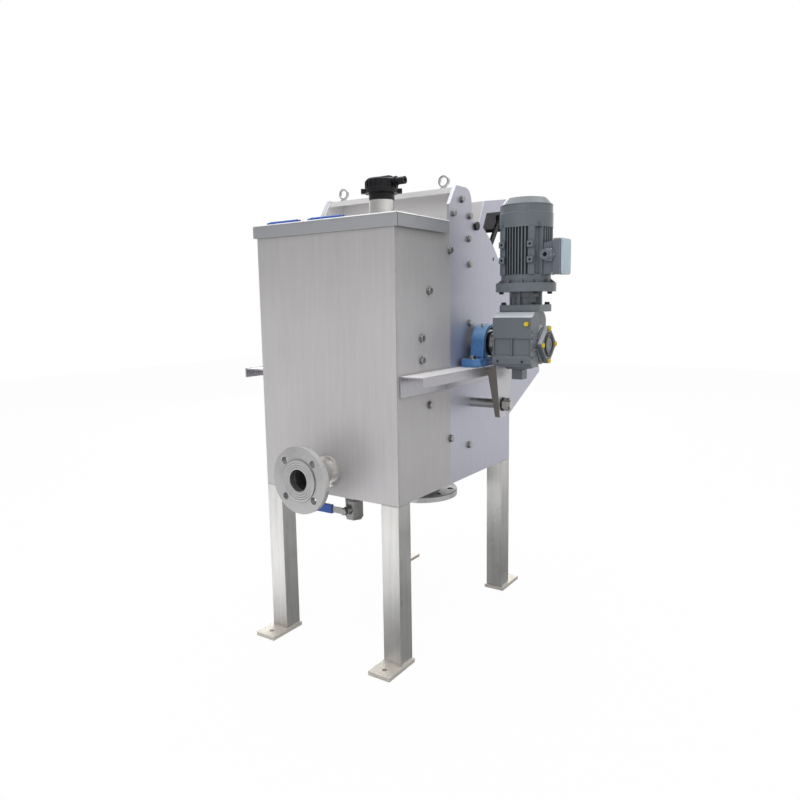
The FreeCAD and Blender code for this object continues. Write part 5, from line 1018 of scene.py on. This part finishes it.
def roundedLoop(shape, x, low, high, inset, corner, steps=6):
    loop = []
    radius = max(corner - inset, terminalDress["leastCorner"])
    left, right = low.y + inset + radius, high.y - inset - radius
    bottom, top = low.z + inset + radius, high.z - inset - radius
    for cy, cz, start in ((right, top, 0), (left, top, 90), (left, bottom, 180), (right, bottom, 270)):
        loop += [shape.verts.new((x, cy + radius * math.cos(a), cz + radius * math.sin(a)))
                 for a in arcAngles(steps + 1, start, start + 90)]
    return loop


def buildTerminalLid(shape):
    low, high = box("terminal_lid")
    edge, sink, inset = terminalDress["edge"], terminalDress["sink"], terminalDress["inset"]
    face = high.x - sink
    # x and inset of each loop: the joint's groove, the rounded edge, then the crown
    loops = [(low.x + deep, drawn) for deep, drawn in terminalDress["groove"]]
    loops += [(face - edge * (1 - math.sin(a)), edge * (1 - math.cos(a))) for a in arcAngles(6, 0, 90)]
    loops += [(high.x - sink * share, inset + more) for share, more in terminalDress["crown"]]
    rings = [roundedLoop(shape, x, low, high, drawn, terminalDress["corner"]) for x, drawn in loops]
    joinRings(shape, rings)
    shape.faces.new(rings[0])
    shape.faces.new(rings[-1])


def buildTerminalScrews(shape):
    low, high = box("terminal_lid")
    inset, rise = terminalDress["screwInset"], terminalDress["screwRise"]
    x = high.x - rise - terminalDress["screwSink"]
    for y in (low.y + inset, high.y - inset):
        for z in (low.z + inset, high.z - inset):
            capScrew(shape, facing((x, y, z), (1, 0, 0)), terminalDress["screw"], rise)


def buildMotorGland(shape):
    lidLow, boxLow = box("terminal_lid")[0], box("terminal_box")[0]
    frameAt = facing((lidLow.x - terminalDress["glandInset"], boxLow.y + terminalDress["glandLength"],
                      lidLow.z + terminalDress["glandRise"]), (0, -1, 0))
    hexHead(shape, frameAt, terminalDress["glandAcross"], terminalDress["glandFoot"])
    spinRings(shape, frameAt, terminalDress["glandProfile"], 40)
    for k in range(terminalDress["glandRibs"]):
        turn = frameAt @ turned(2 * math.pi * k / terminalDress["glandRibs"])
        addPrism(shape, *[addRing(shape, turn, [(x, y, z) for x, y in terminalDress["ribOutline"]])
                          for z in terminalDress["ribEnds"]])


terminalLid = dressedPiece("terminalCover", buildTerminalLid, "palePaint", "frame")
terminalLid.data.materials.append(made["motorPaint"])
for face in terminalLid.data.polygons:
    face.material_index = 0 if face.normal.x > 0.5 else 1
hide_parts("terminal_lid")
dressedPiece("terminalScrews", buildTerminalScrews, "brightSteel", "frame")
dressedPiece("motorGland", buildMotorGland, "glandGrey", "frame")
print("terminal box dressed")


# bearings: lip seals and grease nipples

bearingDress = {
    # radius and height of the lip seal, from its rim to its lip
    "sealProfile": ((0.0442, -0.001), (0.0442, 0.0004), (0.0427, 0.0012), (0.0375, 0.0006), (0.036, -0.0012),
                    (0.0343, -0.0002), (0.0335, -0.002)),
    "nipple": 0.0034,
    "nippleFoot": 0.003,
    "nippleLean": 28,
    "nippleSink": 0.0006,
    # radius and height of the nipple above its hexagon
    "nippleProfile": ((0.00238, 0.003), (0.00187, 0.0052), (0.00272, 0.0066), (0.002108, 0.0082),
                      (0.0004, 0.0088)),
}


def buildBearingSeals(shape):
    for low, high in looseBoxes("bearing_outer_rings"):
        middle = (low + high) / 2
        for face, side in ((high.x, 1), (low.x, -1)):
            frameAt = facing((face, middle.y, middle.z), (side, 0, 0))
            spinRings(shape, frameAt, bearingDress["sealProfile"], 64)


def buildGreaseNipples(shape):
    shaft = middleOf("drum_shaft")
    lean = math.radians(bearingDress["nippleLean"])
    way = Vector((0, -math.sin(lean), math.cos(lean)))
    for low, high in looseBoxes("bearing_housings"):
        middle = (low + high) / 2
        seat = Vector((middle.x, middle.y, shaft.z)) + way * (high.z - shaft.z - bearingDress["nippleSink"])
        frameAt = facing(seat, way)
        hexHead(shape, frameAt, bearingDress["nipple"] * 2, bearingDress["nippleFoot"])
        spinRings(shape, frameAt, bearingDress["nippleProfile"], 20, cap=True)


dressedPiece("bearingSeals", buildBearingSeals, "rubber", "frame")
dressedPiece("greaseNipples", buildGreaseNipples, "brass", "frame")
print("bearings dressed")


# flanges: turned rims in a pale steel that paints their highlight, the inlet pipe's end and its weld inside
# the bore

flangeDress = {
    "skin": 0.0003,
    "back": 0.0015,
    "front": 0.0034,
    # radius and height of the pipe's end, from its bore to its outside
    "pipeEnd": ((0.0273, -0.014), (0.0273, -0.0032), (0.0277, -0.0026), (0.0294, -0.0026), (0.0300, -0.0032)),
    "innerWeld": 0.0015,
    "innerDepth": 0.0016,
    "innerLean": 0.6,
}


def buildPipeEnd(shape):
    face, middle = box("inlet_flange")[0].y, middleOf("inlet_flange")
    spinRings(shape, facing((middle.x, face, middle.z), (0, -1, 0)), flangeDress["pipeEnd"], 64)
    beadRound(shape, facing((middle.x, face + flangeDress["innerDepth"], middle.z), (0, -1, 0)),
              welds["pipeRadius"], flangeDress["innerWeld"], flangeDress["innerLean"])


# thin pale skin round a flange's rim, a painted highlight
def flangeRim(shape, node, way):
    low, high = box(node)
    size = high - low
    reach, half = size.x / 2, min(size) / 2
    skin, back, front = flangeDress["skin"], half - flangeDress["back"], half - flangeDress["front"]
    spinRings(shape, facing((low + high) / 2, way), [(reach - skin, -back), (reach + skin, -back),
                                                     (reach + skin, front), (reach - skin, front + skin)], 96)


for name, node, way in (("outletRim", "outlet_flange", (0, 0, 1)), ("inletRim", "inlet_flange", (0, -1, 0))):
    dressedPiece(name, lambda shape: flangeRim(shape, node, way), "rimHighlightSteel", "frame")
dressedPiece("inletPipeEnd", buildPipeEnd, "brightSteel", "frame")
print("inlet dressed")


# gearbox dress: shaft cap, cover screws, and ribs and boss on the case's outer side

gearDress = {
    # radius and height of the black cap, the shaft's end in it and the sleeve's seal
    "capProfile": ((0.0262, -0.001), (0.0262, 0.00096), (0.0254, 0.0016), (0.0193, 0.0016), (0.0185, 0.00112),
                   (0.0185, 0.0001)),
    "shaftProfile": ((0.0185, 0.0002), (0.015, 0.0004), (0.0145, 0.0009), (0.0062, 0.0009), (0.005, 0.0002)),
    "sealProfile": ((0.0312, -0.0005), (0.0312, 0.0006), (0.0295, 0.0011), (0.0282, 0.0006),
                    (0.0271, 0.0011)),
    "screwRadius": 0.0028,
    "bandScrews": (0.321, 0.388),
    "bandScrewRise": 0.0018,
    "underside": 0.138,      # below the case's top
    "bandRise": 0.015,       # above the case's underside
    "coverDrop": 0.009,      # of the bottom cover below the underside
    "coverCentre": (0.343, 0.083),
    "coverScrewCircle": 0.0305,
    "coverScrewRise": 0.0022,
    "ribHeights": (0.034, 0.0185, -0.0095, -0.029),
    "ribWidth": 0.005,
    "ribRise": 0.0028,
    "ribInset": 0.0035,
    "ribGap": 0.0005,
    "ribTaper": 0.6,
    "bossRadius": 0.0475,
    "bossRoot": 0.0005,
    "bossEdge": 0.7,         # of the rise, where its rounding starts
    "bossLand": 0.012,
}


def turnedOn(shape, node, profile, cap=False):
    # turned round the x axis on the middle of a part's outer end
    middle = middleOf(node)
    spinRings(shape, facing((box(node)[1].x, middle.y, middle.z), (1, 0, 0)), gearDress[profile], 64, cap)


def buildCaseScrews(shape):
    low, high = box("gearbox_case")
    base = high.z - gearDress["underside"]
    for x in gearDress["bandScrews"]:
        capScrew(shape, facing((x, low.y, base + gearDress["bandRise"]), (0, -1, 0)),
                 gearDress["screwRadius"], gearDress["bandScrewRise"])
    x, y = gearDress["coverCentre"]
    circle = Vector((gearDress["coverScrewCircle"], 0, 0))
    for a in arcAngles(4, 45, 315):
        seat = Vector((x, y, base - gearDress["coverDrop"])) + turned(a) @ circle
        capScrew(shape, facing(seat, (0, 0, -1)), gearDress["screwRadius"], gearDress["coverScrewRise"])


def buildCaseRibs(shape):
    outer = box("gearbox_case")[1].x
    rise, half = gearDress["ribRise"], gearDress["ribWidth"] / 2
    tip = half * gearDress["ribTaper"]
    ends = (gearDress["ribInset"], box("output_cover")[0].y - gearDress["ribGap"])
    for shift in gearDress["ribHeights"]:
        z = middleOf("output_cover").z + shift
        outline = [(outer, z - half), (outer + rise, z - tip), (outer + rise, z + tip), (outer, z + half)]
        addPrism(shape, *[[shape.verts.new((x, y, level)) for x, level in outline] for y in ends])
    boss, middle = gearDress["bossRadius"], middleOf("output_cover")
    land = boss - gearDress["bossLand"]
    spinRings(shape, facing((outer, middle.y, middle.z), (1, 0, 0)),
              [(boss, -gearDress["bossRoot"]), (boss, rise * gearDress["bossEdge"]), (boss - rise, rise),
               (land, rise)], 72)


dressedPiece("caseRibs", buildCaseRibs, "motorPaint", "frame")
dressedPiece("shaftCap", lambda shape: turnedOn(shape, "output_sleeve", "capProfile"),
             "blackPlastic", "drum")
dressedPiece("shaftFace", lambda shape: turnedOn(shape, "output_sleeve", "shaftProfile", cap=True),
             "greyPaint", "drum")
dressedPiece("sleeveSeal", lambda shape: turnedOn(shape, "output_cover", "sealProfile"),
             "rubber", "frame")
dressedPiece("caseScrews", buildCaseScrews, "darkBolt", "frame")
print("gearbox dressed")


# sensor tube, and the trims of the drain valve

sensorTube = {
    "radius": 0.0304,
    "low": 0.0454,           # below the sensor's ring
    "high": 0.0002,
    "edgeIn": 0.0003,
    "edgeRise": 0.0004,
}
valveDress = {
    "bandInset": 0.0085,
    "bandRoot": 0.94,        # over the body's radius
    "bandCrown": 1.02,
    "bandWidth": 0.0014,
    "bandLand": 0.0009,
    "gripCount": 9,
    "gripStart": 0.012,
    "gripPitch": 0.0055,
    "gripHalf": 0.0009,
    "gripRise": 0.0006,
    "gripCorner": 0.003,
    "gripSide": 0.001,
}


def buildSensorTube(shape):
    # polished sleeve seen round the sensor's stub
    foot = box("sensor_lock_ring")[0].z
    low, high = foot - sensorTube["low"], foot - sensorTube["high"]
    radius, rise = sensorTube["radius"], sensorTube["edgeRise"]
    inner = radius - sensorTube["edgeIn"]
    spinRings(shape, upright(middleOf("sensor_lock_ring")),
              [(inner, low), (radius, low + rise), (radius, high - rise), (inner, high)], 64)


def buildValveBands(shape):
    low, high = box("drain_valve_body")
    radius = (high.x - low.x) / 2
    base = Matrix.Translation(((low.x + high.x) / 2, high.y - radius, 0))
    root, crown = radius * valveDress["bandRoot"], radius * valveDress["bandCrown"]
    width, land = valveDress["bandWidth"], valveDress["bandLand"]
    for level in (low.z + valveDress["bandInset"], high.z - valveDress["bandInset"]):
        spinRings(shape, base, [(root, level - width), (crown, level - land), (crown, level + land),
                                (root, level + width)])


def buildSleeveGrip(shape):
    # raised ribs across the lever's sleeve
    low, high = box("drain_lever_sleeve")
    rise, corner, side = valveDress["gripRise"], valveDress["gripCorner"], valveDress["gripSide"]
    left, right, under, over = low.y - rise, high.y + rise, low.z - rise, high.z + rise
    bottom, top = low.z + corner, high.z - corner
    outline = [(left, bottom), (left, top), (low.y + side, over), (high.y - side, over),
               (right, top), (right, bottom), (high.y - side, under), (low.y + side, under)]
    for k in range(valveDress["gripCount"]):
        x = low.x + valveDress["gripStart"] + k * valveDress["gripPitch"]
        addPrism(shape, *[[shape.verts.new((x + shift, y, z)) for y, z in outline]
                          for shift in (-valveDress["gripHalf"], valveDress["gripHalf"])])


dressedPiece("sensorTube", buildSensorTube, "pipeSteel", "lid")
dressedPiece("valveBands", buildValveBands, "castSteel", "frame")
dressedPiece("sleeveGrip", buildSleeveGrip, "blueSleeve", "drain_handle")
print("valve dressed")


# studio: lamps, a pale backdrop that metal sees in shades, and a floor

studio = {
    "lamps": {
        "overhead": {"place": (0.1, 0.2, 3.0), "aim": (0, 0.1, 0.8), "size": 3.4, "power": 50, "gloss": True},
        "front": {"place": (0.35, -3.4, 1.9), "aim": (0, 0, 0.75), "size": 3.0, "power": 38, "gloss": False},
        "behind": {"place": (-2.6, 3.6, 2.1), "aim": (0, 0, 1.0), "size": 3.2, "power": 90, "gloss": True},
    },
    "sky": 0.5,              # what the sky adds to matt paint
    "paleBack": 0.78,        # the backdrop as metal sees it, behind right
    "paleFront": 0.42,       # and in front left
    "paleTop": 0.35,         # what is added overhead
    "paleLeft": 0.5,         # what is added behind left
    "toFront": (-0.707, -0.707, 0),
    "toLeft": (-0.56, 0.83, 0),
    "topRange": (0.12, 0.9),
    "leftRange": (0.55, 0.95),
    "floorColor": (0.86, 0.86, 0.86),
    "floorSpot": 1.01,       # how much brighter its spots are
    "floorSpots": 2.0,       # spots per metre
    "floorDrop": 0.0005,     # below the feet
    "floorSize": 16.0,
    "floorGlow": 0.97,
    "floorNear": 0.2,
    "floorBack": 0.8,
    "floorFront": 1.35,
    "floorFrontRange": (0.1, 0.8),
    "floorNearRange": (0.4, 2.6),
    "floorFarRange": (1.4, 3.0),
    "floorFar": 0.35,        # what is left of the front's glow far out
}


def addLamp(name, lamp):
    data = bpy.data.lights.new(name, "AREA")
    data.shape = "SQUARE"
    data.size = lamp["size"]
    data.energy = lamp["power"]
    light = bpy.data.objects.new(name, data)
    bpy.context.scene.collection.objects.link(light)
    light.location = lamp["place"]
    aim = Vector(lamp["aim"]) - Vector(lamp["place"])
    light.rotation_euler = aim.to_track_quat("-Z", "Y").to_euler()
    light.visible_glossy = lamp["gloss"]


for lampName, lamp in studio["lamps"].items():
    addLamp(lampName + "Lamp", lamp)


def makeWorld():
    world = bpy.data.worlds.new("paleStudio")
    bpy.context.scene.world = world
    world.use_nodes = True
    tree = world.node_tree
    tree.nodes.clear()
    rays = putNode(tree, "LightPath").outputs
    way = putNode(tree, "TexCoord").outputs["Generated"]
    up = putNode(tree, "SeparateXYZ", {0: way}).outputs["Z"]
    above = ranged(tree, up, *studio["topRange"], 0.0, studio["paleTop"])
    front = vectors(tree, "DOT_PRODUCT", way, studio["toFront"])
    around = ranged(tree, front, -1, 1, studio["paleBack"], studio["paleFront"], smooth=True)
    left = vectors(tree, "DOT_PRODUCT", way, studio["toLeft"])
    behindLeft = ranged(tree, left, *studio["leftRange"], 0.0, studio["paleLeft"], smooth=True)
    pale = maths(tree, "ADD", around, behindLeft)
    backdrop = maths(tree, "ADD", above, pale)
    white = (1, 1, 1, 1)
    seen = putNode(tree, "Background", {"Color": white, "Strength": 1.0}).outputs[0]
    mirrored = putNode(tree, "Background", {"Color": white, "Strength": backdrop}).outputs[0]
    sky = putNode(tree, "Background", {"Color": white, "Strength": studio["sky"]}).outputs[0]
    shiny = maths(tree, "MAXIMUM", rays["Is Glossy Ray"], rays["Is Transmission Ray"])
    lit = putNode(tree, "MixShader", {0: shiny, 1: sky, 2: mirrored}).outputs[0]
    whole = putNode(tree, "MixShader", {0: rays["Is Camera Ray"], 1: lit, 2: seen}).outputs[0]
    putNode(tree, "OutputWorld", {"Surface": whole})


def makeFloorFinish():
    material = bpy.data.materials.new("paleFloor")
    material.use_nodes = True
    tree = material.node_tree
    tree.nodes.clear()
    rays = putNode(tree, "LightPath").outputs
    coords = objectPlace(tree)
    spots = noise(tree, coords, studio["floorSpots"], 2.0)
    spotColor = tuple(c * studio["floorSpot"] for c in studio["floorColor"])
    tint = mixed(tree, spots, studio["floorColor"] + (1,), spotColor + (1,))
    matte = putNode(tree, "BsdfDiffuse", {"Color": tint}).outputs[0]
    front = vectors(tree, "DOT_PRODUCT", coords, studio["toFront"])
    around = ranged(tree, front, *studio["floorFrontRange"], 0.0, studio["floorFront"], smooth=True)
    reach = vectors(tree, "LENGTH", coords)
    ends = ranged(tree, reach, *studio["floorFarRange"], 1.0, studio["floorFar"], smooth=True)
    glow = maths(tree, "MULTIPLY", around, ends)
    levels = (studio["floorNear"], studio["floorBack"])
    near = ranged(tree, reach, *studio["floorNearRange"], *levels, smooth=True)
    mirrored = maths(tree, "MAXIMUM", glow, near)
    seenGlow = putNode(tree, "Emission").outputs[0]
    mirroredGlow = putNode(tree, "Emission", {"Strength": mirrored}).outputs[0]
    share = maths(tree, "MULTIPLY", rays["Is Camera Ray"], studio["floorGlow"])
    inView = putNode(tree, "MixShader", {0: share, 1: matte, 2: seenGlow}).outputs[0]
    whole = putNode(tree, "MixShader", {0: rays["Is Glossy Ray"], 1: inView, 2: mirroredGlow})
    putNode(tree, "OutputMaterial", {"Surface": whole.outputs[0]})
    return material


def makeFloor():
    half = studio["floorSize"] / 2
    mesh = bpy.data.meshes.new("studioFloor")
    shape = bmesh.new()
    shape.faces.new([shape.verts.new((x, y, -studio["floorDrop"])) for x, y in
                     ((-half, -half), (half, -half), (half, half), (-half, half))])
    shape.to_mesh(mesh)
    shape.free()
    mesh.materials.append(makeFloorFinish())
    floor = bpy.data.objects.new("studioFloor", mesh)
    bpy.context.scene.collection.objects.link(floor)


makeWorld()
makeFloor()
bpy.context.scene.view_settings.view_transform = "Standard"
print("studio lit")
